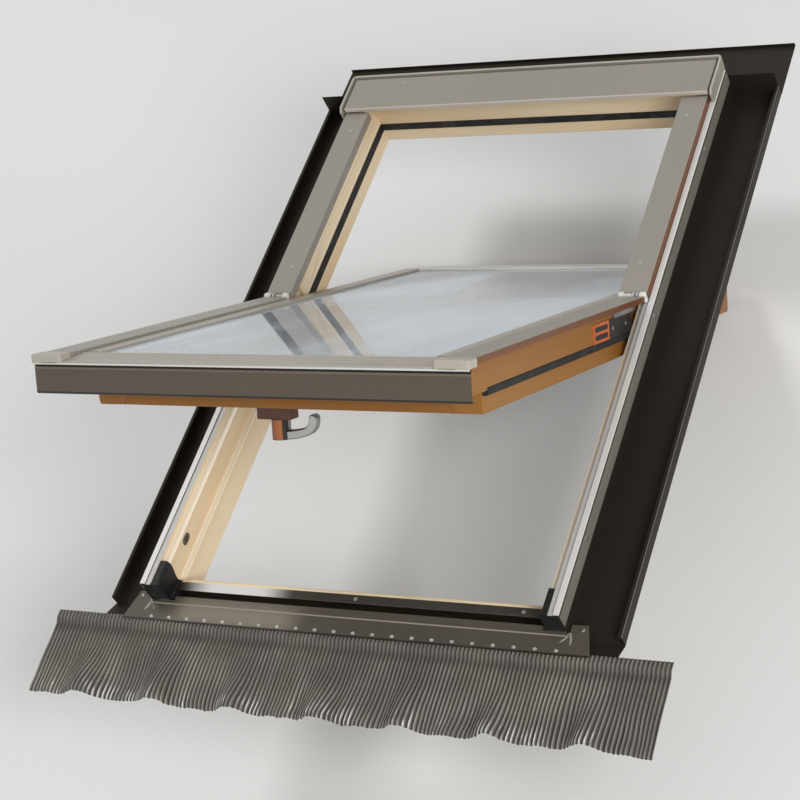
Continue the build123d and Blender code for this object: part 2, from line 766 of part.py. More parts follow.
# Sash rails between the stiles
rail_half = [
    (REBATE_X, SASH_TOP_H),
    (REBATE_X, REBATE_H),
    (SASH_IN_X, REBATE_H),
    (SASH_IN_X, SASH_BASE_H + SASH_BEVEL),
    (SASH_IN_X + SASH_BEVEL, SASH_BASE_H),
]
TOP_RAIL_Y = SASH_TOP_Y - TOP_RAIL_DEPTH
with BuildPart() as top_rail:
    add(bar(across(SASH_TOP_Y), full_width(rail_half), TOP_RAIL_DEPTH))
    with BuildSketch(along(0)):
        with Locations((GLASS_TOP_Y + GLASS_PLAY, REBATE_H)):
            Rectangle(GLASS_SEAT + GLASS_PLAY, FRAME_WIDTH, align=(Align.MAX, Align.MIN))
        with BuildLine():
            Polyline(
                (TOP_RAIL_Y, SASH_BASE_H + SASH_BEVEL),
                (TOP_RAIL_Y + SASH_BEVEL, SASH_BASE_H),
                (TOP_RAIL_Y, SASH_BASE_H),
                close=True,
            )
        make_face()
    extrude(amount=WALL_X, both=True, mode=Mode.SUBTRACT)
save_sash(top_rail.part, "sash_top_rail")

BOTTOM_RAIL_Y = SASH_STEP_Y + BOTTOM_RAIL_DEPTH
with BuildPart() as bottom_rail:
    add(bar(across(BOTTOM_RAIL_Y), full_width(rail_half), BOTTOM_RAIL_Y - SASH_FRONT_Y))
    with BuildSketch(along(0)):
        with Locations((GLASS_BOTTOM_Y - GLASS_PLAY, REBATE_H)):
            Rectangle(FRAME_LENGTH, FRAME_WIDTH, align=(Align.MIN, Align.MIN))
        with BuildLine():
            Polyline(
                (BOTTOM_RAIL_Y, SASH_BASE_H + SASH_BEVEL),
                (BOTTOM_RAIL_Y - SASH_BEVEL, SASH_BASE_H),
                (BOTTOM_RAIL_Y, SASH_BASE_H),
                close=True,
            )
        make_face()
        with BuildLine():
            Polyline(
                (SASH_FRONT_Y, SASH_SHELF_H),
                (SASH_STEP_Y, SASH_SHELF_H),
                (SASH_STEP_Y, SASH_BASE_H + SASH_BEVEL),
                (SASH_STEP_Y + SASH_NOSE_CUT, SASH_BASE_H),
                (SASH_FRONT_Y, SASH_BASE_H),
                close=True,
            )
        make_face()
        with Locations((GLASS_BOTTOM_Y - GLASS_PLAY, FRONT_H)):
            Rectangle(FRAME_LENGTH, FRAME_WIDTH, align=(Align.MAX, Align.MIN))
    extrude(amount=WALL_X, both=True, mode=Mode.SUBTRACT)
save_sash(bottom_rail.part, "sash_bottom_rail")

# Glazing unit: two panes, the spacer between them and the tape it beds on
PANE_LENGTH = GLASS_TOP_Y - GLASS_BOTTOM_Y
PANE_Y = (GLASS_TOP_Y + GLASS_BOTTOM_Y) / 2


def pane(height):
    """Glass pane with its underside at a height."""
    with BuildPart() as sheet:
        with BuildSketch(level(height)):
            with Locations((0, PANE_Y)):
                Rectangle(2 * GLASS_X, PANE_LENGTH)
        extrude(amount=PANE)
    return sheet.part


def pane_ring(height, rise, width):
    """Ring under the edge of a pane."""
    with BuildPart() as ring:
        with BuildSketch(level(height)):
            with Locations((0, PANE_Y)):
                Rectangle(2 * GLASS_X, PANE_LENGTH)
                Rectangle(2 * (GLASS_X - width), PANE_LENGTH - 2 * width, mode=Mode.SUBTRACT)
        extrude(amount=rise)
    return ring.part


save_sash(pane(GLASS_TOP_H - PANE), "glass_outer")
save_sash(pane(GLASS_BASE_H), "glass_inner")
save_sash(pane_ring(GLASS_BASE_H + PANE, CAVITY, SPACER_WIDTH), "glass_spacer")
save_sash(pane_ring(REBATE_H, TAPE, GLASS_SEAT - GLASS_PLAY), "glazing_tape")

# Glazing beads: along the sides, over the top rail, and a ribbed one over the bottom rail
BEAD_TOP_Y = GLASS_TOP_Y - BEAD_LAP
BEAD_BOTTOM_Y = GLASS_BOTTOM_Y + SILL_BEAD_LAP
side_bead = bar(
    across(BEAD_TOP_Y),
    [
        (GLASS_X - BEAD_LAP, GLASS_TOP_H),
        (GLASS_X - BEAD_LAP, BEAD_TOP_H - 1.0),
        (GLASS_X - BEAD_LAP + 2.0, BEAD_TOP_H),
        (BEAD_X, BEAD_TOP_H),
        (BEAD_X, SASH_TOP_H),
        (REBATE_X, SASH_TOP_H),
        (REBATE_X, GLASS_TOP_H),
    ],
    BEAD_TOP_Y - BEAD_BOTTOM_Y,
)
save_sash(pair(side_bead), "side_beads")

top_bead = bar(
    along(-BEAD_X),
    [
        (BEAD_TOP_Y, GLASS_TOP_H),
        (BEAD_TOP_Y, BEAD_TOP_H - 1.0),
        (BEAD_TOP_Y + 2.0, BEAD_TOP_H),
        (SASH_TOP_Y - SHEET, BEAD_TOP_H),
        (SASH_TOP_Y - SHEET, SASH_TOP_H),
        (GLASS_TOP_Y + GLASS_PLAY, SASH_TOP_H),
        (GLASS_TOP_Y + GLASS_PLAY, GLASS_TOP_H),
    ],
    2 * BEAD_X,
)
save_sash(top_bead, "top_bead")

BEAD_RIBS = 3
RIB_PITCH = 15.0
RIB_RISE = 1.2
FASCIA_SEAT_Y = CAP_Y - 4.0
LIP_FRONT_Y = SASH_FRONT_Y - RAIN_LIP
with BuildPart() as bottom_bead:
    with BuildSketch(along(-BEAD_X)):
        with BuildLine():
            Polyline(
                (BEAD_BOTTOM_Y, GLASS_TOP_H),
                (BEAD_BOTTOM_Y, GLASS_TOP_H + 2.5),
                (BEAD_BOTTOM_Y - 3.0, GLASS_TOP_H + 3.0),
                (LIP_FRONT_Y + 2.0, RAIN_LIP_H + 2.5),
                (LIP_FRONT_Y + 2.0, RAIN_LIP_H),
                (FASCIA_SEAT_Y, RAIN_LIP_H),
                (FASCIA_SEAT_Y, FRONT_H),
                (GLASS_BOTTOM_Y - GLASS_PLAY, FRONT_H),
                (GLASS_BOTTOM_Y - GLASS_PLAY, GLASS_TOP_H),
                close=True,
            )
        make_face()
    extrude(amount=2 * BEAD_X)
    for i in range(BEAD_RIBS):
        with BuildSketch(along(-BEAD_X)):
            with Locations((BEAD_BOTTOM_Y - 7.0 - i * RIB_PITCH, GLASS_TOP_H + 2.4 - i * 1.2)):
                Ellipse(4.0, RIB_RISE)
        extrude(amount=2 * BEAD_X)
save_sash(bottom_bead.part, "bottom_bead")

# Fascia: a rain lip with a drip groove below it and a deep face, turned back underneath
with BuildPart() as fascia:
    with BuildSketch(along(-FASCIA_HALF)):
        with BuildLine():
            Polyline(
                (FASCIA_SEAT_Y, RAIN_LIP_H),
                (LIP_FRONT_Y, RAIN_LIP_H),
                (LIP_FRONT_Y, RAIN_LIP_H - RAIN_LIP_DROP),
                (SASH_FRONT_Y - FASCIA_REACH + 2.0, RAIN_LIP_H - RAIN_LIP_DROP),
                (SASH_FRONT_Y - FASCIA_REACH, RAIN_LIP_H - 3 * RAIN_LIP_DROP),
                (SASH_FRONT_Y - FASCIA_REACH, SASH_SHELF_H + 2.0),
                (SASH_FRONT_Y - FASCIA_REACH + 2.0, SASH_SHELF_H),
                (SASH_FRONT_Y, SASH_SHELF_H),
            )
            offset(amount=FASCIA_T, side=Side.LEFT, kind=Kind.INTERSECTION)
        make_face()
    extrude(amount=2 * FASCIA_HALF)
save_sash(fascia.part, "sash_fascia")

# Sash covers over the lower half, with a cap on each front end
sash_cover = folded(
    across(SASH_COVER_Y),
    [(COVER_IN_X, SASH_TOP_H), (COVER_IN_X, 0), (COVER_X, 0), (COVER_X, -SASH_FLANGE)],
    SASH_COVER_Y - CAP_Y,
)
save_sash(pair(sash_cover), "sash_covers")

with BuildPart() as cap:
    with BuildSketch(level(RAIN_LIP_H)) as cap_plan:
        with Locations((BEAD_X, CAP_Y)):
            Rectangle(FASCIA_HALF + SHEET - BEAD_X, CAP_LENGTH + 2.0, align=(Align.MIN, Align.MAX))
        fillet(cap_plan.vertices().group_by(Axis.Y)[0], CAP_R)
    extrude(amount=CAP_RISE - RAIN_LIP_H)
    fillet(cap.edges().group_by(Axis.Z)[-1].group_by(Axis.Y)[0], 0.75 * CAP_R)
save_sash(pair(cap.part), "cover_caps")

# Sash seals: along the low ledge and up the side, and a thin one that closes on the sill strip
side_seal = bar(
    across(SASH_COVER_Y - 2 * SASH_PLAY),
    [
        (SASH_UP_X, SASH_SHELF_H),
        (SASH_UP_X, SASH_SHELF_H - SASH_SEAL),
        (SASH_LOW_X - SASH_PLAY / 2, SASH_SHELF_H - SASH_SEAL),
        (SASH_LOW_X + SASH_PLAY / 2, SASH_SHELF_H - SASH_PLAY),
        (SASH_LOW_X + SASH_PLAY / 2, SASH_SHELF_H + SEAL_LAP - SASH_PLAY / 2),
        (SASH_LOW_X, SASH_SHELF_H + SEAL_LAP),
        (SASH_LOW_X, SASH_SHELF_H),
    ],
    SASH_COVER_Y - 2 * SASH_PLAY - SASH_STEP_Y,
)
front_seal = bar(
    along(-SASH_UP_X),
    [
        (SASH_STEP_Y, SASH_SHELF_H),
        (NOSE_Y + 4.0, SASH_SHELF_H),
        (NOSE_Y + 5.0, SILL_H + SHEET + 0.4),
        (SASH_STEP_Y, SILL_H + SHEET + 0.4),
    ],
    2 * SASH_UP_X,
)
with BuildPart() as sash_seals:
    add(pair(side_seal))
    add(front_seal)
save_sash(sash_seals.part, "sash_seals")

# Pivot hinges: an ear on the sash plate and one on the frame plate share a pin in the gap
# between the covers, with a friction washer between them
SASH_EAR_X = SASH_LOW_X + PLATE_STAND
FRAME_EAR_X = SASH_EAR_X + PLATE_T + PLATE_GAP
EAR_R = PIVOT_GAP - EAR_PLAY
with BuildPart() as sash_plate:
    with BuildSketch(along(SASH_EAR_X)):
        with Locations((PIVOT_Y, 0)):
            Circle(EAR_R)
        with Locations((PIVOT_Y - EAR_R / 2, PLATE_TOP_H)):
            Rectangle(SASH_PLATE_REACH, PLATE_TOP_H - PLATE_BASE_H, align=(Align.MAX, Align.MAX))
        with Locations((PIVOT_Y, 0)):
            Circle(PIN_R, mode=Mode.SUBTRACT)
    extrude(amount=PLATE_T)
    with BuildSketch(along(SASH_LOW_X)):
        with Locations((PIVOT_Y - 3 * PIVOT_GAP, SASH_TOP_H - 2.0)):
            Rectangle(
                SASH_PLATE_REACH - 3 * PIVOT_GAP,
                SASH_TOP_H - 2.0 - PLATE_BASE_H,
                align=(Align.MAX, Align.MAX),
            )
    extrude(amount=PLATE_STAND)
save_sash(pair(sash_plate.part), "sash_pivot_plates")

with BuildPart() as frame_plate:
    with BuildSketch(along(FRAME_EAR_X)):
        with Locations((PIVOT_Y, 0)):
            Circle(EAR_R)
        with Locations((PIVOT_Y + EAR_R / 2, PLATE_TOP_H)):
            Rectangle(FRAME_PLATE_REACH, PLATE_TOP_H - HIGH_LEDGE_H, align=(Align.MIN, Align.MAX))
        with Locations((PIVOT_Y, 0)):
            Circle(PIN_R + PIN_PLAY, mode=Mode.SUBTRACT)
    extrude(amount=PLATE_T)
    with BuildSketch(level(HIGH_LEDGE_H)):
        with Locations((FRAME_EAR_X, PIVOT_Y + EAR_R / 2)):
            Rectangle(SHOULDER_X - FRAME_EAR_X, FRAME_PLATE_REACH, align=(Align.MIN, Align.MIN))
    extrude(amount=PLATE_T)
save(pair(frame_plate.part), "frame_pivot_plates")

with BuildPart() as washer:
    with BuildSketch(along(FRAME_EAR_X)):
        with Locations((PIVOT_Y, 0)):
            Circle(EAR_R)
            Circle(PIN_R + PIN_PLAY, mode=Mode.SUBTRACT)
    extrude(amount=WASHER_PLAY - PLATE_GAP)
save(pair(washer.part), "friction_washers")

with BuildPart() as pin:
    with BuildSketch(along(SASH_EAR_X - PIN_HEAD)):
        with Locations((PIVOT_Y, 0)):
            Circle(PIN_HEAD_R)
    extrude(amount=PIN_HEAD)
    with BuildSketch(along(SASH_EAR_X)):
        with Locations((PIVOT_Y, 0)):
            Circle(PIN_R)
    extrude(amount=2 * PLATE_T + PLATE_GAP + WASHER_PLAY)
    with BuildSketch(along(FRAME_EAR_X + PLATE_T + WASHER_PLAY)):
        with Locations((PIVOT_Y, 0)):
            Circle(PIN_HEAD_R)
    extrude(amount=PIN_HEAD)
    fillet(pin.edges().filter_by(GeomType.CIRCLE).group_by(Axis.X)[-1], 0.4 * PIN_HEAD)
save_sash(pair(pin.part), "pivot_pins")

# Hinge shoes on the sash sides: a slotted moulding with friction pads in its slots and a plain
# pad between it and the pivot
SHOE_END_Y = SASH_COVER_Y - 2 * SASH_PLAY
SHOE_TOP_H = PLATE_BASE_H - SHEET
SHOE_BASE_H = SASH_SHELF_H + SEAL_LAP
SHOE_HEIGHT = SHOE_TOP_H - SHOE_BASE_H
SLOT_HEIGHT = (SHOE_HEIGHT - 3 * SHOE_WALL) / 2
SLOT_LENGTH = SHOE_REACH - PAD_REACH - 2 * SHOE_WALL
SLOT_Y = SHOE_END_Y - (SHOE_REACH + PAD_REACH) / 2
SLOTS = [(SLOT_Y, (SHOE_TOP_H + SHOE_BASE_H + s * (SLOT_HEIGHT + SHOE_WALL)) / 2) for s in (-1, 1)]
with BuildPart() as shoe:
    with BuildSketch(along(SASH_LOW_X)):
        with Locations((SHOE_END_Y - PAD_REACH, SHOE_TOP_H)):
            Rectangle(SHOE_REACH - PAD_REACH, SHOE_HEIGHT, align=(Align.MAX, Align.MAX))
        with Locations(*SLOTS):
            SlotOverall(SLOT_LENGTH, SLOT_HEIGHT, mode=Mode.SUBTRACT)
    extrude(amount=SHOE_T)
save_sash(pair(shoe.part), "hinge_shoes")

with BuildPart() as pad:
    with BuildSketch(along(SASH_LOW_X)):
        with Locations(*SLOTS):
            SlotOverall(SLOT_LENGTH, SLOT_HEIGHT)
    extrude(amount=0.75 * SHOE_T)
    with BuildSketch(along(SASH_LOW_X)):
        with Locations((SHOE_END_Y, SHOE_TOP_H)):
            Rectangle(PAD_REACH, SHOE_HEIGHT, align=(Align.MAX, Align.MAX))
    extrude(amount=SHOE_T)
save_sash(pair(pad.part), "hinge_pads")

# Handle: a base block under the bottom rail and a lever that turns on a spindle in it
with BuildPart() as handle_base:
    with BuildSketch(level(SASH_BASE_H)) as base_plan:
        with Locations((BASE_X, HANDLE_Y)):
            Rectangle(BASE_LENGTH, BASE_DEPTH)
        fillet(base_plan.vertices(), BASE_R)
    extrude(amount=-BASE_RISE)
    fillet(handle_base.edges().group_by(Axis.Z)[0], 0.5 * BASE_R)
    with BuildSketch(level(SASH_BASE_H - BASE_RISE)):
        with Locations((HANDLE_X, HANDLE_Y)):
            Circle(SPINDLE_R + PIN_PLAY)
    extrude(amount=SPINDLE_LENGTH + LEVER_PLAY, mode=Mode.SUBTRACT)
save_sash(handle_base.part, "handle_base")

LEVER_TOP_H = SASH_BASE_H - BASE_RISE - LEVER_PLAY
LEVER_BASE_H = LEVER_TOP_H - LEVER_DROP
TIP_X = HANDLE_X + LEVER_REACH
TIP_H = LEVER_TOP_H + TIP_RISE - LEVER_T / 2
with BuildPart() as lever:
    with BuildSketch(across(HANDLE_Y + LEVER_DEPTH / 2)):
        with BuildLine():
            Spline(
                (HANDLE_X, LEVER_BASE_H),
                (HANDLE_X + 0.6 * LEVER_REACH, LEVER_BASE_H + 0.3 * LEVER_T),
                (TIP_X, TIP_H),
                tangents=((1, 0), (0, 1)),
            )
            ThreePointArc((TIP_X, TIP_H), (TIP_X - LEVER_T / 2, TIP_H + LEVER_T / 2), (TIP_X - LEVER_T, TIP_H))
            Spline(
                (TIP_X - LEVER_T, TIP_H),
                (HANDLE_X + 0.5 * LEVER_REACH, LEVER_BASE_H + 1.2 * LEVER_T),
                (HANDLE_X, LEVER_BASE_H + LEVER_T),
                tangents=((0, -1), (-1, 0)),
            )
            Line((HANDLE_X, LEVER_BASE_H + LEVER_T), (HANDLE_X, LEVER_BASE_H))
        make_face()
    extrude(amount=LEVER_DEPTH)
    fillet(lever.edges().filter_by(GeomType.LINE, reverse=True), LEVER_R)
    with BuildSketch(level(LEVER_BASE_H)):
        with Locations((HANDLE_X, HANDLE_Y)):
            Circle(DRUM_R)
    extrude(amount=LEVER_DROP)
    with BuildSketch(level(LEVER_TOP_H)):
        with Locations((HANDLE_X, HANDLE_Y)):
            Circle(SPINDLE_R)
    extrude(amount=SPINDLE_LENGTH)
save_sash(lever.part, "handle_lever")

# Barrel bolt under the left end of the top rail: it locks the sash shut, or turned over
BOLT_END_X = -SASH_UP_X + 0.5
GUIDE_T = 12.0
PLATE_LENGTH = BOLT_LENGTH
with BuildPart() as bolt_guide:
    with BuildSketch(level(SASH_BASE_H)):
        with Locations((BOLT_END_X, BOLT_Y)):
            Rectangle(PLATE_LENGTH, 4 * BOLT_R, align=(Align.MIN, Align.CENTER))
    extrude(amount=-BOLT_PLATE_T)
    with BuildSketch(level(SASH_BASE_H)):
        with Locations((BOLT_END_X, BOLT_Y), (BOLT_END_X + PLATE_LENGTH - GUIDE_T, BOLT_Y)):
            Rectangle(GUIDE_T, 4 * BOLT_R, align=(Align.MIN, Align.CENTER))
    extrude(amount=-BOLT_DROP - 2 * BOLT_R)
    with BuildSketch(along(BOLT_END_X)):
        with Locations((BOLT_Y, BOLT_H)):
            Circle(BOLT_R + PIN_PLAY)
    extrude(amount=PLATE_LENGTH, mode=Mode.SUBTRACT)
save_sash(bolt_guide.part, "bolt_guide")

KNOB_X = BOLT_END_X + PLATE_LENGTH - GUIDE_T - 1.6 * BOLT_R
with BuildPart() as bolt:
    with BuildSketch(along(BOLT_END_X)):
        with Locations((BOLT_Y, BOLT_H)):
            Circle(BOLT_R)
    extrude(amount=BOLT_LENGTH)
    chamfer(bolt.edges().group_by(Axis.X)[0], 0.3 * BOLT_R)
    with BuildSketch(level(BOLT_H)):
        with Locations((KNOB_X, BOLT_Y)):
            Circle(0.8 * BOLT_R)
    extrude(amount=-4 * BOLT_R)
save_sash(bolt.part, "bolt")

# Screw heads on the upper covers and the hood, the cladding walls and the sill strip
COVER_SCREW_X = COVER_IN_X + COVER_SCREW_INSET
HOOD_SCREW = (STEP_X - HOOD_SCREW_INSET, HOOD_BACK_Y - HOOD_SCREW_TOP)
with BuildPart() as cover_screws:
    for y in (PIVOT_Y + COVER_SCREW_LOW, COVER_END_Y - COVER_SCREW_TOP):
        add(screw_heads(level(0), [(COVER_SCREW_X, y)]))
    add(screw_heads(level(HOOD_TOP_H), [HOOD_SCREW], HOOD_SCREW_R, RIM_RISE - 0.3))
save(pair(cover_screws.part), "cover_screws")

WALL_SCREWS = [
    (y, LIP_H - WALL_SCREW_DROP)
    for y in (WALL_SCREW_LOW - END_Y, PIVOT_Y - WALL_SCREW_PIVOT, END_Y - WALL_SCREW_TOP)
]
save(pair(screw_heads(along(WALL_X), WALL_SCREWS, SMALL_SCREW_R)), "wall_screws")

SILL_SCREWS = [(i * (BAND_X - SILL_SCREW_INSET), NOSE_Y + SILL_SCREW_BACK) for i in (-1, 0, 1)]
save(screw_heads(level(SILL_H + SHEET), SILL_SCREWS, SMALL_SCREW_R, 0.3), "sill_screws")
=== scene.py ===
import json
import math

import bmesh
import bpy
from bpy.props import FloatProperty, FloatVectorProperty, IntProperty, PointerProperty
from mathutils import Matrix, Vector, noise


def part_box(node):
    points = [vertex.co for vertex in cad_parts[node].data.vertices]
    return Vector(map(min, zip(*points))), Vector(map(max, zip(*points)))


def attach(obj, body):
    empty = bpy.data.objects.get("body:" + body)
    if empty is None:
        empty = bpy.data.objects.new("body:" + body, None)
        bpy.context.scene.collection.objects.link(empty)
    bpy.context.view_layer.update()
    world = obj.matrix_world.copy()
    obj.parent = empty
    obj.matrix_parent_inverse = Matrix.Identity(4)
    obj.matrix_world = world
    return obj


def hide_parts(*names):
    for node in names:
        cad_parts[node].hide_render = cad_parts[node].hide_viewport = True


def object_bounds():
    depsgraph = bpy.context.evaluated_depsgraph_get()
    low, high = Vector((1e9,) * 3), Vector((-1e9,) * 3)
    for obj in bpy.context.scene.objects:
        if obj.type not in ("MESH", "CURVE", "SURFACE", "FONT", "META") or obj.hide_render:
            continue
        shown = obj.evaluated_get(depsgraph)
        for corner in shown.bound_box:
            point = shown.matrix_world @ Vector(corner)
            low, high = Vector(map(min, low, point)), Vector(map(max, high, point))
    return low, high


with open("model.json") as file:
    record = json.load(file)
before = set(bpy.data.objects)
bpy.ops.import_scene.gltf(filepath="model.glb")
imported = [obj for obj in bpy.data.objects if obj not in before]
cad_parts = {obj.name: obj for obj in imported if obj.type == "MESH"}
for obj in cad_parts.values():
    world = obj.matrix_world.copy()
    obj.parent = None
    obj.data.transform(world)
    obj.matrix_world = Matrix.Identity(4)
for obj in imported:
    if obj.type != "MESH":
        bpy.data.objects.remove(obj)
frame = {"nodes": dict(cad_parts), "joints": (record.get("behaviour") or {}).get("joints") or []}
CAD_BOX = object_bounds()

bl_info = {
    "name": "Roof Window Dressing",
    "version": (1, 0, 0),
    "blender": (4, 5, 0),
    "location": "3D View > Sidebar > Roof Window",
    "description": "Finishes and fine parts for a centre-pivot roof window",
    "category": "Object",
}

PIVOT_JOINT = next(joint for joint in frame["joints"] if joint["name"] == "sash_pivot")
PIVOT = Vector(PIVOT_JOINT["pos_m"])
OPEN_ANGLE = math.radians(-PIVOT_JOINT["range_deg"][0])
SWING = Matrix.Translation(PIVOT) @ Matrix.Rotation(-OPEN_ANGLE, 4, "X") @ Matrix.Translation(-PIVOT)
COVER_PLANE = PIVOT.z
LOCK_DROP = 0.041  # how far below the cover plane the lower keep and the shut sash's hinge screws lie
FAR = 1.0  # past the window along any axis


# Sizes and colours a user would change

def tone(name, description, default):
    return FloatVectorProperty(
        name=name, description=description, subtype="COLOR", default=default, min=0.0, max=1.0)


def measure(name, description, default):
    return FloatProperty(
        name=name, description=description, default=default, unit="LENGTH", subtype="DISTANCE")


def factor(name, description, default):
    return FloatProperty(
        name=name, description=description, default=default, min=0.0, max=1.0, subtype="FACTOR")


def power(name, description, default):
    return FloatProperty(name=name, description=description, default=default, unit="POWER")


def spot(name, description, default):
    return FloatVectorProperty(
        name=name, description=description, default=default, subtype="TRANSLATION", unit="LENGTH")


class TimberSettings(bpy.types.PropertyGroup):
    early: tone("Early wood", "Pale part of each growth ring", (0.8, 0.66, 0.46))
    late: tone("Late wood", "Dark line that ends each growth ring", (0.6, 0.42, 0.23))
    # ledge_highlight is a painted highlight: the pale colour laid on the stiles' up-facing steps, for the
    # light that falls on them
    ledge_highlight: tone("Ledges", "Pale planed edges of the stiles' steps", (0.96, 0.88, 0.74))
    # sash_shade is painted shade: the sash's pine is multiplied darker and more orange than the frame's, for
    # the shade on the sash
    sash_shade: tone("Sash tone", "The sash timber's darker stain over the same pine", (0.36, 0.2, 0.065))
    ring: measure("Ring spacing", "Mean distance between growth rings", 0.0036)
    edge: measure("Edge rounding", "Radius on the timber's edges", 0.0015)


class MetalSettings(bpy.types.PropertyGroup):
    cladding: tone("Cladding", "Grey-brown paint of covers, hood and claddings", (0.285, 0.26, 0.224))
    # lip is partly painted reflection: silvery metal given a near-white, hardly metallic colour, so it looks
    # as bright as a reflection from every side
    lip: tone("Lip", "Bare silvery metal of the outer lips", (0.78, 0.77, 0.74))
    # flange is a painted reflection: red-brown for the warm light the covers' outer flanges reflect in their
    # shade
    flange: tone("Cover flange", "Red-brown outer flange of the side covers", (0.155, 0.052, 0.014))
    # fascia is painted shade: a darker copy of the cladding paint, for the fascia that faces away from the
    # light
    fascia: tone("Fascia", "Dark paint of the sash fascia", (0.088, 0.07, 0.051))
    # flashing is partly painted shade: dark paint made near black, for the shade that lies in the gutters
    flashing: tone("Flashing", "Dark paint of the gutters", (0.02, 0.016, 0.012))
    sill: tone("Sill flashing", "Paint of the sill flashing", (0.085, 0.073, 0.057))
    strip: tone("Sill strip", "Bare metal of the strip over the sill", (0.06, 0.052, 0.041))
    # dark is painted shade: near black laid in gaps, slots, grooves and on faces under edges where shade
    # falls
    dark: tone("Grooves", "Near black of grooves and shaded folds", (0.018, 0.014, 0.011))
    apron: tone("Apron", "Paint of the pleated apron", (0.15, 0.136, 0.116))
    # rubbed_and_sheen: lighter paint on the pleats' crests, partly rubbed paint and partly a painted
    # highlight
    rubbed_and_sheen: tone("Rubbed crests", "Crests of the pleats where their paint is rubbed", (0.33, 0.315, 0.29))
    glint: tone("Glints", "Bright ends of the pleats", (0.8, 0.79, 0.77))
    clinch: tone("Clinches", "Zinc of the pressed dots along the sill flashing", (0.62, 0.6, 0.56))
    seam: tone("Corner seams", "Zinc of the folded corner seams", (0.42, 0.4, 0.37))


class FittingSettings(bpy.types.PropertyGroup):
    outer_glass: tone("Outer glass", "Faint tint of the outer pane", (0.93, 0.965, 0.985))
    inner_glass: tone("Inner glass", "Faint tint of the inner pane", (0.94, 0.965, 0.975))
    # sky_reflection is a painted reflection: a pale blue diffuse layer in soft clouds laid over the outer
    # pane
    sky_reflection: tone("Glass film", "Pale blue film on the outer pane", (0.85, 0.92, 1.0))
    sky_reflection_share: factor("Film share", "How much of the film shows", 0.34)
    spacer: tone("Spacer", "Aluminium spacer between the panes", (0.42, 0.42, 0.41))
    steel: tone("Plated steel", "Pivot plates, pins, bolt and brackets", (0.6, 0.59, 0.57))
    screw: tone("Screws", "Steel of the screw heads", (0.52, 0.51, 0.49))
    corner: tone("Corner blocks", "Black plastic of the corner blocks", (0.008, 0.0075, 0.007))
    keep: tone("Keep lining", "Brown plastic lining of the bolt's keep", (0.1, 0.083, 0.058))
    washer: tone("Washers", "Dark nylon of the friction washers", (0.03, 0.03, 0.03))
    shoe: tone("Hinge shoes", "Orange plastic of the hinge shoes", (0.5, 0.115, 0.035))
    pad: tone("Hinge pads", "Black plastic of the hinge pads", (0.02, 0.018, 0.016))
    nylon: tone("Pivot nylon", "White nylon of the pivot's caps and sleeves", (0.62, 0.61, 0.58))
    base: tone("Handle base", "Brown plastic under the lever", (0.075, 0.03, 0.017))
    root: tone("Lever root", "Orange-brown moulding round the lever's root", (0.3, 0.105, 0.035))
    silver: tone("Lever", "Satin silver of the lever", (0.4, 0.4, 0.39))


class ApronSettings(bpy.types.PropertyGroup):
    pleats: IntProperty(name="Pleats", description="Pleats across the apron", default=156, min=8)
    depth: measure("Pleat depth", "Height of a pleat", 0.0029)
    sheet: measure("Sheet", "Thickness of the sheet", 0.0009)
    straight: measure("Straight length", "Pleats run straight this far from the flashing", 0.026)
    step: measure("Step", "How far the sheet drops below the flashing's edge", 0.0062)
    fall: measure("Fall", "How far the sheet falls from there to its lower edge", 0.005)
    wave_rise: measure("Wave rise", "Height of the waves along the lower edge", 0.022)
    wave_pitch: measure("Wave pitch", "Distance between two waves", 0.155)
    wave_at: measure("Wave place", "Where the middle wave has its top", 0.001)
    steep_side: measure("Steep side", "Reach of a wave's left side", 0.043)
    long_side: measure("Long side", "Reach of a wave's right side", 0.051)


class StageSettings(bpy.types.PropertyGroup):
    floor: tone("Floor", "Colour of the plain floor", (0.8, 0.8, 0.79))
    ambient: factor("Ambient light", "Strength of the even light from all round", 0.38)
    key: power("Key light", "Power of the lamp above and behind the left side", 105.0)
    key_at: spot("Key place", "Where the key light stands", (-3.35, 1.87, 4.2))
    key_size: measure("Key size", "Width of the key light", 1.4)
    fill: power("Fill light", "Power of the lamp above the right front", 160.0)
    fill_at: spot("Fill place", "Where the fill light stands", (3.2, -2.2, 2.7))
    fill_size: measure("Fill size", "Width of the fill light", 2.2)
    camera_at: spot("Camera place", "Where the camera stands", (1.618017, -2.004914, 2.523327))
    camera_turn: FloatVectorProperty(
        name="Camera turn", description="Rotation of the camera", subtype="EULER", unit="ROTATION",
        default=(math.radians(40.0109), math.radians(20.5813), math.radians(18.1728)))
    lens: FloatProperty(
        name="Lens", description="Focal length for a sensor 36 mm wide", default=90.182, unit="CAMERA")
    shift: FloatVectorProperty(
        name="Lens shift", description="Shift of the lens to the side and up", size=2,
        default=(-0.05, 0.0125))


# Shader maths

def arithmetic(operation, reflected=False):
    """An operator of wires that adds a Math node."""
    def apply(wire, other=0.0):
        first, second = (other, wire) if reflected else (wire, other)
        return wire.shading.node("ShaderNodeMath", {"operation": operation}, {0: first, 1: second})
    return apply


class Wire:
    """An output of a node. Arithmetic on it adds Math nodes."""

    __add__ = __radd__ = arithmetic("ADD")
    __sub__ = arithmetic("SUBTRACT")
    __rsub__ = arithmetic("SUBTRACT", reflected=True)
    __mul__ = __rmul__ = arithmetic("MULTIPLY")
    __truediv__ = arithmetic("DIVIDE")
    __rtruediv__ = arithmetic("DIVIDE", reflected=True)
    __abs__ = arithmetic("ABSOLUTE")
    fract = arithmetic("FRACT")
    larger = arithmetic("MAXIMUM")

    def __init__(self, shading, socket):
        self.shading = shading
        self.socket = socket


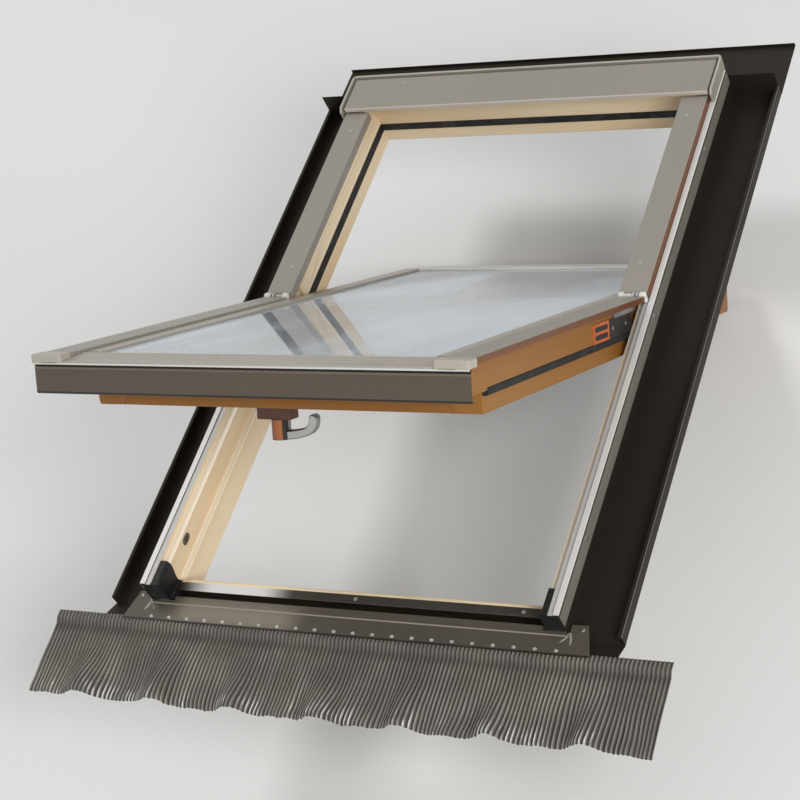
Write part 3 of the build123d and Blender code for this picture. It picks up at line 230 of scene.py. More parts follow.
class Shading:
    """A node tree. Every node in it comes from node(), as a wire."""

    def __init__(self, tree):
        self.tree = tree

    def give(self, socket, value):
        """Give a socket a wire or a fixed value."""
        if isinstance(value, Wire):
            self.tree.links.new(value.socket, socket)
        elif hasattr(value, "__len__") and len(value) < len(socket.default_value):
            socket.default_value = (*value, 1.0)
        else:
            socket.default_value = value

    def node(self, kind, settings=None, sockets=None, output=0):
        """Add a node: its settings first, then the values or links of its sockets."""
        made = self.tree.nodes.new(kind)
        for name, value in (settings or {}).items():
            if name == "stops":
                ramp = made.color_ramp.elements
                while len(ramp) < len(value):
                    ramp.new(0.5)
                for element, (place, grey) in zip(ramp, value):
                    element.position = place
                    element.color = (grey, grey, grey, 1.0)
            else:
                setattr(made, name, value)
        for name, value in (sockets or {}).items():
            self.give(made.inputs[name], value)
        return Wire(self, made.outputs[output])

    def turned(self, vector, angles):
        """Turn a vector by angles about X, Y and Z."""
        return self.node("ShaderNodeMapping", {}, {"Vector": vector, "Rotation": angles})

    def moved(self, vector, offset):
        return self.node("ShaderNodeVectorMath", {"operation": "ADD"}, {0: vector, 1: offset})

    def scaled(self, vector, factors):
        return self.node("ShaderNodeVectorMath", {"operation": "MULTIPLY"}, {0: vector, 1: factors})

    def length(self, vector):
        return self.node("ShaderNodeVectorMath", {"operation": "LENGTH"}, {0: vector}, output="Value")

    def ramp(self, value, stops):
        return self.node("ShaderNodeValToRGB", {"stops": stops}, {"Fac": value})

    def band(self, value, low, high):
        """0 below low, 1 above high."""
        return self.node("ShaderNodeMapRange", {"interpolation_type": "SMOOTHSTEP"}, {
            "Value": value, "From Min": low, "From Max": high})

    def mix(self, share, first, second, blend="MIX"):
        """Mix two colours."""
        return self.node("ShaderNodeMix", {"data_type": "RGBA", "blend_type": blend}, {
            0: share, 6: first, 7: second}, output=2)

    def bump(self, height, distance, strength=1.0, under=None):
        sockets = {"Height": height, "Distance": distance, "Strength": strength}
        if under:
            sockets["Normal"] = under
        return self.node("ShaderNodeBump", {}, sockets)

    def attribute(self, name):
        return self.node("ShaderNodeAttribute", {"attribute_name": name}, output="Fac")


class Finish(Shading):
    """A material with its principled shader. Its noises and zones go by the place on the object, in metres:
    on the sash, by the place when the sash is shut."""

    def __init__(self, name, swung=False, **constants):
        self.material = bpy.data.materials.new(name)
        self.material.use_nodes = True
        super().__init__(self.material.node_tree)
        self.shader = self.tree.nodes["Principled BSDF"]
        self.feed(**constants)
        self.here = self.node("ShaderNodeTexCoord", output="Object")
        if swung:
            self.here = self.moved(self.here, tuple(-PIVOT))
            self.here = self.turned(self.here, (OPEN_ANGLE, 0.0, 0.0))
            self.here = self.moved(self.here, tuple(PIVOT))

    def feed(self, **sockets):
        """Give sockets of the shader a wire or a fixed value each, and return the material."""
        for name, value in sockets.items():
            self.give(self.shader.inputs[name.replace("_", " ")], value)
        return self.material

    def axis(self, name):
        return self.node("ShaderNodeSeparateXYZ", {}, {0: self.here}, output=name)

    def noise(self, scale, detail=2.0, rough=0.5, offset=None):
        """Noise at one scale, or at a scale for each axis, with an offset of its own."""
        here = self.here
        if isinstance(scale, tuple):
            here, scale = self.scaled(here, scale), 1.0
        if offset:
            here = self.moved(here, offset)
        return self.node("ShaderNodeTexNoise", {}, {
            "Vector": here, "Scale": scale, "Detail": detail, "Roughness": rough})

    def zone(self, limits, soft=0.0002):
        """1 inside a box given by low and high along some axes. X counts alike to both sides of the middle,
        and x is signed."""
        inside = 1.0
        for name, (low, high) in limits.items():
            value = self.axis(name.upper())
            value = abs(value) if name == "X" else value
            above = self.band(value, low - soft, low + soft)
            below = 1.0 - self.band(value, high - soft, high + soft)
            inside = above * below * inside
        return inside

    def lay(self, over, share):
        """Lay another shader over the principled one."""
        both = self.node("ShaderNodeMixShader", {}, {0: share, 2: over})
        self.tree.links.new(self.shader.outputs[0], both.socket.node.inputs[1])
        self.give(self.tree.nodes["Material Output"].inputs["Surface"], both)


def shade(colour, factor):
    """A colour made lighter or darker."""
    return tuple(channel * factor for channel in colour)


def extent(points):
    """Lowest and highest corners of some points."""
    return [Vector([pick(point[i] for point in points) for i in range(3)]) for pick in (min, max)]


def shut_box(node):
    """Lowest and highest corners of a sash node when the sash is shut."""
    return extent([SWING.inverted() @ vertex.co for vertex in frame["nodes"][node].data.vertices])


# Finishes

def pine(name, node, settings, ledge_highlights=()):
    """Lacquered pine, cut along its grain: growth rings about a heart beside the piece, and fine fibres.
    Ledge highlights are boxes where the stiles' up-facing steps get a painted highlight, a pale band for the
    light on them."""
    low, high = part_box(node)
    heart = (low + high) / 2
    swung = node.startswith("sash")
    sheen = 0.2 if swung else 0.4
    finish = Finish(name, swung, Coat_Weight=0.15, Coat_Roughness=0.3, Specular_IOR_Level=sheen)
    if swung:
        heart = SWING.inverted() @ heart
    pale = [finish.zone(limits) for limits in ledge_highlights]
    finish.here = finish.moved(finish.here, tuple(-heart))
    if node.endswith(("head", "sill", "rail")):
        finish.here = finish.turned(finish.here, (0.0, 0.0, math.pi / 2))
    seed = 3.7 * len(name) + heart.x * 11.0
    sway = finish.noise((7.0, 1.1, 7.0), offset=(seed, 0.0, 0.0))
    ripple = finish.noise((60.0, 4.0, 60.0), offset=(0.0, seed, 0.0))
    across = finish.scaled(finish.moved(finish.here, (0.034, 0.0, 0.083)), (1.0, 0.035, 1.0))
    reach = finish.length(across) + sway * 0.030 + ripple * 0.0016
    phase = (reach / settings.ring).fract()
    ring = finish.ramp(phase, [(0.0, 0.0), (0.45, 0.1), (0.8, 0.62), (0.93, 1.0), (1.0, 0.0)])
    fibre = finish.noise((460.0, 5.0, 460.0), 2.0, 0.55)
    ray = finish.noise((150.0, 3.0, 150.0), 2.0, 0.55)
    tint = finish.noise((16.0, 2.0, 16.0))
    strength = finish.noise((30.0, 2.5, 30.0), 1.0, offset=(seed, seed, 0.0))
    dark = ring * (0.3 + strength * 0.75) * 0.66 + (fibre - 0.5) * 0.16 + (ray - 0.5) * 0.3
    body = finish.mix(finish.band(dark, -0.12, 0.95), settings.early, settings.late)
    warm = finish.mix(finish.band(tint, 0.35, 0.75), (1.0, 1.0, 1.0), (0.93, 0.85, 0.74))
    body = finish.mix(1.0, body, warm, "MULTIPLY")
    # painted shade: darken the sash's pine
    if swung:
        body = finish.mix(1.0, body, settings.sash_shade, "MULTIPLY")
    # painted highlight: mix the pale ledge colour into the ledge boxes
    for share in pale:
        body = finish.mix(share * 0.75, body, settings.ledge_highlight)
    return finish.feed(
        Base_Color=body,
        Roughness=0.36 + fibre * 0.16,
        Normal=finish.bump(fibre * 0.5 + ring * 0.4, 0.00012, 0.55))


def painted(name, colour, roughness=0.4, metallic=0.25, dust=0.12, swung=False, zones=(), sheen=0.5):
    """Powder-coated sheet: fine orange peel, faint run marks down the slope and dust. Zones are boxes of
    the shut window in which the sheet has another colour."""
    finish = Finish(name, swung, Metallic=metallic, Specular_IOR_Level=sheen)
    cloud = finish.noise(5.0, 3.0, 0.55)
    runs = finish.noise((85.0, 2.2, 85.0), 3.0, 0.6)
    speck = finish.noise(900.0, 2.0, 0.6)
    grime = finish.band(cloud * 0.55 + runs * 0.45, 0.42, 0.66)
    base = finish.mix(grime * dust * 2.0, shade(colour, 0.96), shade(colour, 1.28))
    for other, *limits in zones:
        base = finish.mix(finish.zone(*limits), base, other)
    fleck = finish.mix(finish.band(speck, 0.35, 0.68), (0.93, 0.93, 0.93), (1.06, 1.06, 1.06))
    peel = finish.noise(1300.0)
    return finish.feed(
        Base_Color=finish.mix(1.0, base, fleck, "MULTIPLY"),
        Roughness=roughness - 0.05 + grime * 0.1 + speck * 0.05,
        Normal=finish.bump(peel, 0.00005, 0.35, finish.bump(cloud, 0.0012, 0.25)))


def pleated(name, metal):
    """Paint of the apron. Its crests are lighter, partly rubbed paint and partly a painted highlight; its
    valleys are painted shade, and near the lower edge some crests get painted glints.
    """
    finish = Finish(name, Specular_IOR_Level=0.55)
    crest = finish.attribute("crest")
    down = finish.attribute("down")
    cloud = finish.noise(9.0, 3.0, 0.55)
    patch = finish.noise((26.0, 12.0, 26.0), 3.0, 0.6)
    grain = finish.noise(700.0, 2.0, 0.6)
    # crests lighter: partly rubbed paint, partly a painted highlight
    rub_and_sheen = finish.band(crest * (0.8 + down * 0.3) + (patch - 0.5) * 0.9, 0.6, 1.1)
    near_edge = finish.band(down, 0.78, 0.92)
    glint = near_edge * finish.band(crest, 0.6, 0.95) * finish.band(patch, 0.5, 0.6)
    # painted shade: the valleys between the crests are darkened
    base = finish.mix(finish.band(crest, 0.0, 0.6), shade(metal.apron, 0.3), metal.apron)
    base = finish.mix(rub_and_sheen, base, metal.rubbed_and_sheen)
    base = finish.mix(glint, base, metal.glint)
    worn = finish.mix(finish.band(cloud, 0.4, 0.7), (0.82, 0.82, 0.82), (1.12, 1.1, 1.08))
    return finish.feed(
        Base_Color=finish.mix(1.0, base, worn, "MULTIPLY"),
        Metallic=0.15 + rub_and_sheen * 0.3 + glint * 0.3,
        Roughness=0.38 - rub_and_sheen * 0.12 + grain * 0.06,
        Normal=finish.bump(grain, 0.00008, 0.4))


def rubber(name):
    """Matt black extruded rubber with a dusty bloom."""
    finish = Finish(name, Specular_IOR_Level=0.35)
    bloom = finish.noise(45.0, 3.0, 0.6)
    dusty = finish.band(bloom, 0.4, 0.75)
    return finish.feed(
        Base_Color=finish.mix(dusty, (0.012, 0.012, 0.012), (0.034, 0.033, 0.031)),
        Roughness=0.55 + bloom * 0.15,
        Normal=finish.bump(finish.noise(1500.0), 0.00006, 0.4))


def moulding(name, colour):
    """Moulded plastic with a fine spark-eroded grain."""
    finish = Finish(name, Specular_IOR_Level=0.45)
    cloud = finish.noise(30.0)
    grain = finish.node("ShaderNodeTexVoronoi", {"feature": "SMOOTH_F1"}, {
        "Vector": finish.here, "Scale": 1600.0})
    pale = finish.band(cloud, 0.3, 0.7)
    return finish.feed(
        Base_Color=finish.mix(pale, shade(colour, 0.88), shade(colour, 1.15)),
        Roughness=0.42 + cloud * 0.08,
        Normal=finish.bump(grain, 0.00005, 0.5))


def zinc(name, colour, roughness=0.34):
    """Zinc-plated steel with fine brush marks and a faint spangle."""
    finish = Finish(name, Metallic=1.0)
    brush = finish.noise((150.0, 1400.0, 1400.0))
    cloud = finish.noise(60.0, 3.0, 0.6)
    return finish.feed(
        Base_Color=finish.mix(finish.band(cloud, 0.35, 0.7), shade(colour, 0.78), colour),
        Roughness=roughness - 0.06 + brush * 0.12 + cloud * 0.08,
        Normal=finish.bump(brush, 0.00004, 0.4))


def satin(name, fittings, dark):
    """Die-cast lever with a satin silver finish. The moulding round its root is orange-brown, with a dark
    side."""
    root_end, dark_start = -0.0065, -0.0135
    finish = Finish(name, swung=True)
    cloud = finish.noise(28.0)
    across = finish.axis("X")
    silver = finish.band(across, root_end, root_end + 0.0005)
    orange = finish.mix(cloud, shade(fittings.root, 0.8), shade(fittings.root, 1.2))
    moulded = finish.mix(finish.band(across, dark_start, dark_start + 0.002), orange, dark)
    metal = finish.mix(finish.band(cloud, 0.3, 0.7), shade(fittings.silver, 0.92), fittings.silver)
    return finish.feed(
        Base_Color=finish.mix(silver, moulded, metal),
        Metallic=silver,
        Roughness=0.42 - silver * 0.14 + cloud * 0.08,
        Normal=finish.bump(finish.noise(1100.0), 0.00003, 0.5))


def glass(name, colour, sky_reflection=None, share=0.0):
    """Clear float glass with the faintest dust. Sky reflection is the colour of a painted reflection of a
    cloudy sky, laid over the glass in soft clouds.
    """
    finish = Finish(name, Transmission_Weight=1.0, IOR=1.5)
    dust = finish.noise(14.0, 3.0, 0.6)
    finish.feed(
        Base_Color=finish.mix(finish.band(dust, 0.35, 0.8), colour, shade(colour, 0.985)),
        Roughness=finish.band(dust, 0.3, 0.9) * 0.012)
    if sky_reflection:
        # painted reflection of a cloudy sky over the glass
        sky_clouds = finish.noise((5.5, 2.2, 2.2), 1.0, 0.4)
        sky_layer = finish.node("ShaderNodeBsdfDiffuse", {}, {"Color": sky_reflection})
        finish.lay(sky_layer, share * (0.45 + finish.band(sky_clouds, 0.34, 0.68)))
    return finish.material


# Geometry helpers

def stand(name, data, place=(0.0, 0.0, 0.0), turn=(0.0, 0.0, 0.0)):
    """Put an object in the scene."""
    made = bpy.data.objects.new(name, data)
    made.location = place
    made.rotation_euler = turn
    bpy.context.scene.collection.objects.link(made)
    return made


def piece(name, shape, material, body, replaces=(), smooth=True):
    """Add a shape, a bmesh or its points, edges and faces, as a piece that rides on a body."""
    mesh = bpy.data.meshes.new(name)
    if isinstance(shape, bmesh.types.BMesh):
        bmesh.ops.recalc_face_normals(shape, faces=shape.faces[:])
        shape.to_mesh(mesh)
        shape.free()
    else:
        mesh.from_pydata(*shape)
    mesh.materials.append(material)
    if smooth:
        mesh.shade_smooth()
    made = stand(name, mesh)
    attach(made, body)
    if replaces:
        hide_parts(*replaces)
    return made


def dress(material, *nodes):
    """Give CAD nodes their finish."""
    for node in nodes:
        mesh = frame["nodes"][node].data
        mesh.materials.clear()
        mesh.materials.append(material)


def soften(node, width):
    """Round the edges of a CAD node, with modifiers only."""
    made = frame["nodes"][node]
    weld = made.modifiers.new("Weld", "WELD")
    weld.merge_threshold = 0.00001
    bevel = made.modifiers.new("Bevel", "BEVEL")
    bevel.width = width
    bevel.segments = 2
    bevel.limit_method = "ANGLE"
    bevel.angle_limit = math.radians(40.0)
    bevel.harden_normals = False


def skin(made, rows, closed=False):
    """Fill the faces between neighbouring rows of points in a bmesh. Closed rows run round."""
    for near, far in zip(rows, rows[1:]):
        for i in range(len(near) if closed else len(near) - 1):
            j = (i + 1) % len(near)
            made.faces.new([near[i], near[j], far[j], far[i]])


def spun(made, profile, at, steps=24):
    """Add a turned shape to a bmesh: profile is radius and height, at a matrix."""
    rings = []
    for radius, height in profile:
        angles = [2 * math.pi * i / steps for i in range(steps)] if radius else [0.0]
        rings.append([
            made.verts.new(at @ Vector((radius * math.cos(angle), radius * math.sin(angle), height)))
            for angle in angles])
    for inner, outer in zip(rings, rings[1:]):
        for i in range(steps):
            j = (i + 1) % steps
            corners = [outer[0]] if len(outer) == 1 else [outer[i], outer[j]]
            corners += [inner[0]] if len(inner) == 1 else [inner[j], inner[i]]
            made.faces.new(corners)
    return rings


def cross_head(made, at, radius, rise):
    """Add a pan-head screw with a cross recess to a bmesh."""
    steps = 32
    dome = [(0.66 * radius, rise), (0.84 * radius, 0.86 * rise), (0.97 * radius, 0.45 * rise), (radius, 0.0)]
    rim = spun(made, dome, at, steps)[0]
    arm, half = 0.5 * radius, 0.12 * radius
    cross = [(arm, half), (half, half), (half, arm)]
    for _ in range(3):
        cross += [(-y, x) for x, y in cross[-3:]]
    top = [made.verts.new(at @ Vector((x, y, rise))) for x, y in cross]
    floor = [made.verts.new(at @ Vector((0.8 * x, 0.8 * y, 0.3 * rise))) for x, y in cross]
    skin(made, [top, floor], closed=True)
    made.faces.new(floor)
    edges = [made.edges.get((ring[i - 1], ring[i])) for ring in (rim, top) for i in range(len(ring))]
    bmesh.ops.triangle_fill(made, use_beauty=True, edges=edges)


def rounded_block(made, size, middle, radius):
    """Add a block with rounded edges to a bmesh."""
    place = Matrix.LocRotScale(Vector(middle), None, Vector(size))
    corners = bmesh.ops.create_cube(made, size=1.0, matrix=place)["verts"]
    edges = [edge for edge in made.edges if edge.verts[0] in corners]
    bmesh.ops.bevel(made, geom=edges, offset=radius, segments=2, affect="EDGES")


def fold(made, start, end, width, rise):
    """Add a pinched fold of sheet to a bmesh: a steep side and a lapping side, dying out at its end."""
    along = (end - start).normalized()
    aside = Vector((-along.y, along.x, 0.0))
    section = [
        (-0.5, 0.0), (-0.34, 0.55), (-0.1, 0.95), (0.12, 1.0),
        (0.24, 0.7), (0.2, 0.3), (0.5, 0.12), (1.1, 0.0)]
    sunk, sway, steps = 0.0001, 0.0012, 10
    rows = []
    for i in range(steps + 1):
        share = i / steps
        tall = rise * math.sin(math.pi * (0.22 + 0.78 * share)) ** 0.7 if share < 1.0 else 0.0
        broad = width * (1.0 - 0.45 * share)
        middle = start + (end - start) * share + aside * sway * math.sin(3.0 * share)
        rows.append([
            made.verts.new(middle + aside * broad * x + Vector((0.0, 0.0, tall * h - sunk)))
            for x, h in section])
    skin(made, rows)


def seat(place, direction, twist=0.0):
    """Matrix that stands local Z along a direction at a place."""
    turn = Vector(direction).to_track_quat("Z", "Y").to_matrix().to_4x4()
    return Matrix.Translation(place) @ turn @ Matrix.Rotation(twist, 4, "Z")


def loose_parts(node):
    """Lowest and highest corners of each loose part of a CAD node."""
    made = bmesh.new()
    made.from_mesh(frame["nodes"][node].data)
    bmesh.ops.remove_doubles(made, verts=made.verts[:], dist=0.00001)
    seen, boxes = set(), []
    for first in made.verts:
        if first in seen:
            continue
        part, fresh = set(), {first}
        while fresh:
            part |= fresh
            fresh = {edge.other_vert(vertex) for vertex in fresh for edge in vertex.link_edges} - part
        seen |= part
        boxes.append(extent([vertex.co for vertex in part]))
    made.free()
    return boxes


def lower_keep():
    """Middle of the bolt's lower keep, in the left stile's face: where the bolt comes once the sash is
    turned over."""
    low, high = shut_box("bolt")
    radius = (high.y - low.y) / 2
    axis = Vector((0.0, (low.y + high.y) / 2, high.z - radius))
    ahead = math.sqrt((axis - PIVOT).length ** 2 - LOCK_DROP ** 2)
    return Vector((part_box("frame_sill")[0].x, PIVOT.y - ahead, COVER_PLANE - LOCK_DROP))


# Apron sheet

def wave_height(x, apron):
    """Height of the apron's waves: a steeper left side, a round top and a longer right side."""
    lean = 0.003
    away = (x - apron.wave_at + apron.wave_pitch / 2) % apron.wave_pitch - apron.wave_pitch / 2 + lean
    reach = apron.steep_side if away < 0 else apron.long_side
    if abs(away) > reach:
        return 0.0
    return apron.wave_rise * math.cos(math.pi / 2 * away / reach) ** 2


def shared_out(apron, half, count):
    """Where count steps end when they share the longer way over the waves evenly."""
    fine = 2400
    xs = [half * (2 * i / fine - 1) for i in range(fine + 1)]
    way = [0.0]
    for a, b in zip(xs, xs[1:]):
        way.append(way[-1] + math.hypot(b - a, wave_height(b, apron) - wave_height(a, apron)))
    placed, at = [], 0
    for i in range(count + 1):
        share = way[-1] * i / count
        while at < fine - 1 and way[at + 1] < share:
            at += 1
        placed.append(xs[at] + (share - way[at]) / (way[at + 1] - way[at]) * (xs[at + 1] - xs[at]))
    return placed


def ease(value):
    """Smooth step from 0 to 1."""
    value = min(1.0, max(0.0, value))
    return value * value * (3 - 2 * value)


def drift(x, y, z, reach=1.0):
    """Smooth random number about 0, the same for the same place."""
    return noise.noise(Vector((x, y, z))) * reach


def pleated_sheet(apron):
    """Points and faces of the apron as dressed sheet, and for each point how far it is up a crest and how
    far down the sheet."""
    low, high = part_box("pleated_apron")
    inset, under, calm_side = 0.0006, 0.0012, 0.03
    half = high.x - inset
    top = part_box("sill_flashing")[1].z - under
    length = high.y - low.y
    per_pleat, rows = 8, 32
    columns = apron.pleats * per_pleat
    fanned = shared_out(apron, half, columns)
    points, crests, downs = [], [], []
    for row in range(rows + 1):
        down = row / rows
        run = down * length
        y = high.y - run
        past = max(0.0, (run - apron.straight) / (length - apron.straight))
        fan = ease(past)
        lift = ease((past - 0.18) / 0.82)
        step = ease((run - 0.55 * apron.straight) / (0.45 * apron.straight))
        turn_down = 0.0025 * ease((down - 0.95) / 0.05)
        # painted shade: lower the crest values across the step, so the apron paint is darker there
        step_shade = 1.0 - 0.6 * step * (1.0 - ease(past / 0.12))
        for column in range(columns + 1):
            even = half * (2 * column / columns - 1)
            inward = min(1.0, (half - abs(even)) / calm_side)
            swerve = drift(even * 11.0, y * 7.0, 1.3, 0.013) + drift(even * 40.0, y * 16.0, 8.3, 0.003)
            x = even + (fanned[column] - even) * fan + swerve * fan * inward
            x = min(half, max(-half, x))
            ripple = math.cos(2 * math.pi * column / per_pleat)
            ripple = ripple if ripple > 0 else -abs(ripple) ** 0.8
            pleat = column // per_pleat
            own = drift(pleat * 0.83, down * 1.6, 7.1)
            pinched = 0.8 * ease((drift(pleat * 1.9, 0.3, down * 0.6) - 0.12) / 0.25) * fan
            deep = apron.depth * (0.6 + 0.4 * step) * (1.0 + 0.5 * fan * own + pinched)
            uneven = drift(x * 19.0, y * 17.0, 4.2, 0.0045) * past
            z = top - apron.step * step - apron.fall * past + wave_height(x, apron) * lift
            z += uneven - turn_down - deep * (0.5 - 0.5 * ripple)
            ragged = abs(drift(x * 30.0, 3.0, 0.5, 0.004) * ease((down - 0.9) / 0.1))
            points.append((x, max(low.y + 0.0002, y + ragged), z))
            crests.append(max(0.0, (0.5 + 0.5 * ripple) * step_shade))
            downs.append(down)
    wide = columns + 1
    faces = [
        (at, at + wide, at + wide + 1, at + 1)
        for row in range(rows) for at in range(row * wide, row * wide + columns)]
    return (points, [], faces), crests, downs


# Operators, one for each piece or group

class ROOFWINDOW_OT_timber(bpy.types.Operator):
    """Give frame and sash their pine, each member with its own grain"""

    bl_idname = "roofwindow.timber"
    bl_label = "Timber"

    def execute(self, context):
        settings = context.scene.roof_timber
        low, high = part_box("frame_stile_right")
        # the stiles' two up-facing steps, which get a painted highlight
        ledge_highlights = [
            {"X": (low.x + 0.0085, low.x + 0.0235), "Z": (high.z - 0.0115, high.z - 0.0085)},
            {"X": (low.x - 0.0005, low.x + 0.01), "Z": (high.z - 0.0555, high.z - 0.0515)}]
        stiles = ("frame_stile_left", "frame_stile_right")
        others = (
            "frame_head", "frame_sill", "frame_stop_strips",
            "sash_stile_left", "sash_stile_right", "sash_top_rail", "sash_bottom_rail")
        for node in stiles + others:
            dress(pine("pine_" + node, node, settings, ledge_highlights if node in stiles else ()), node)
            soften(node, settings.edge)
        self.nosing(pine("pine_nosing", "frame_sill", settings))
        return {"FINISHED"}

    def nosing(self, material):
        """Rounded front of the sill, seen as a thin line above the metal strip."""
        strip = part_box("sill_cladding")[1]
        half, top = strip.x - 0.0005, strip.z - 0.0005
        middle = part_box("frame_sill")[1].y - 0.0033
        reach, crown = 0.0032, 0.0008
        lengths, round_steps = 8, 10
        angles = [math.pi * i / round_steps for i in range(round_steps + 1)]
        section = [(middle - reach * math.cos(a), top + crown * math.sin(a) ** 0.7) for a in angles]
        made = bmesh.new()
        skin(made, [
            [made.verts.new(((2 * step / lengths - 1) * half, y, z)) for y, z in section]
            for step in range(lengths + 1)])
        piece("sill_nosing", made, material, "frame")


class ROOFWINDOW_OT_cladding(bpy.types.Operator):
    """Paint the claddings, covers, hood and sash metal"""

    bl_idname = "roofwindow.cladding"
    bl_label = "Cladding and covers"

    def execute(self, context):
        metal = context.scene.roof_metal
        self.covers(metal)
        self.walls(metal)
        self.fascia(metal)
        return {"FINISHED"}

    def covers(self, metal):
        """Covers, beads, end caps and hood."""
        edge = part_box("upper_covers")[1].x
        # painted reflection: the covers' outer flanges take the red-brown flange colour
        flange = [(metal.flange, {"X": (edge - 0.0006, FAR)})]
        dress(painted("cover_paint", metal.cladding, zones=flange), "upper_covers")
        # painted reflection: the sash covers take a lighter copy of the cladding paint
        lower = painted("sash_cover_paint", shade(metal.cladding, 1.05), 0.36, swung=True, zones=flange)
        dress(lower, "sash_covers")
        # painted reflection: the beads take a much lighter copy of the cladding paint, and the top bead the
        # pale lip colour
        beads = painted("bead_paint", shade(metal.cladding, 1.45), 0.32, 0.4, swung=True)
        dress(beads, "side_beads", "bottom_bead")
        dress(painted("top_bead_paint", metal.lip, 0.32, swung=True), "top_bead")
        low, high = shut_box("cover_caps")
        # painted shade: a near-black slot under each cap's front
        slot = {
            "X": (high.x - 0.048, high.x - 0.02), "Y": (-FAR, high.y - 0.002), "Z": (-FAR, low.z + 0.0008)}
        caps = painted("cap_paint", shade(metal.cladding, 1.5), 0.34, swung=True, zones=[(metal.dark, slot)])
        dress(caps, "cover_caps")
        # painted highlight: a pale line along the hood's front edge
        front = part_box("hood")[0].y
        dress(painted("hood_paint", metal.cladding, zones=[
            (shade(metal.cladding, 2.1), {"Y": (-FAR, front + 0.0011)})]), "hood")
        dress(painted("rim_paint", shade(metal.cladding, 1.45), 0.34), "hood_rim")

    def walls(self, metal):
        """Walls with their stepped lip, and the strip over the sill. Painted reflection on the lips, painted
        shade on the inner lip, the gap under the outer lip and the strip's front, and a painted highlight on
        the strip's left part.
        """
        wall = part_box("side_claddings")[1]
        outer_lip = {"X": (wall.x - 0.0107, FAR), "Z": (wall.z - 0.0004, FAR)}
        # painted shade: the inner lip takes a darker copy of the lip colour
        inner_lip = {"X": (wall.x - 0.021, wall.x - 0.0115), "Z": (wall.z - 0.003, wall.z - 0.0005)}
        # painted shadow: a dark line on the outer wall just under the lip
        gap_shadow = {"X": (wall.x - 0.0008, FAR), "Z": (wall.z - 0.0048, wall.z - 0.0018)}
        dress(painted("lip_paint", shade(metal.cladding, 0.8), 0.34, 0.15, zones=[
            (metal.lip, outer_lip), (shade(metal.lip, 0.7), inner_lip), (metal.dark, gap_shadow)]),
            "side_claddings")
        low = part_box("sill_cladding")[0]
        # painted highlight on the strip's left part, and painted shade on its front
        highlight_box = {"x": (low.x + 0.036, low.x + 0.196)}
        front = {"Y": (-FAR, low.y + 0.0028)}
        dress(painted("sill_paint", metal.strip, 0.36, 0.5, zones=[
            (shade(metal.lip, 0.9), highlight_box, 0.035), (metal.dark, front)]), "sill_cladding")

    def fascia(self, metal):
        """Fascia with painted light: a painted highlight on its rain lip and on a band below, painted shade
        in the groove between them, and a painted shadow on its foot.
        """
        low, high = shut_box("sash_fascia")
        face = (low.y + 0.001, low.y + 0.0065)
        dress(painted("fascia_paint", metal.fascia, swung=True, zones=[
            (shade(metal.lip, 0.8), {"Y": (-FAR, low.y + 0.0025), "Z": (high.z - 0.0028, FAR)}),
            (metal.dark, {"Y": face, "Z": (high.z - 0.0075, high.z - 0.0034)}),
            (shade(metal.fascia, 1.7), {"Y": face, "Z": (high.z - 0.0105, high.z - 0.0075)}),
            (metal.dark, {"Y": face, "Z": (-FAR, low.z + 0.0038)})]), "sash_fascia")


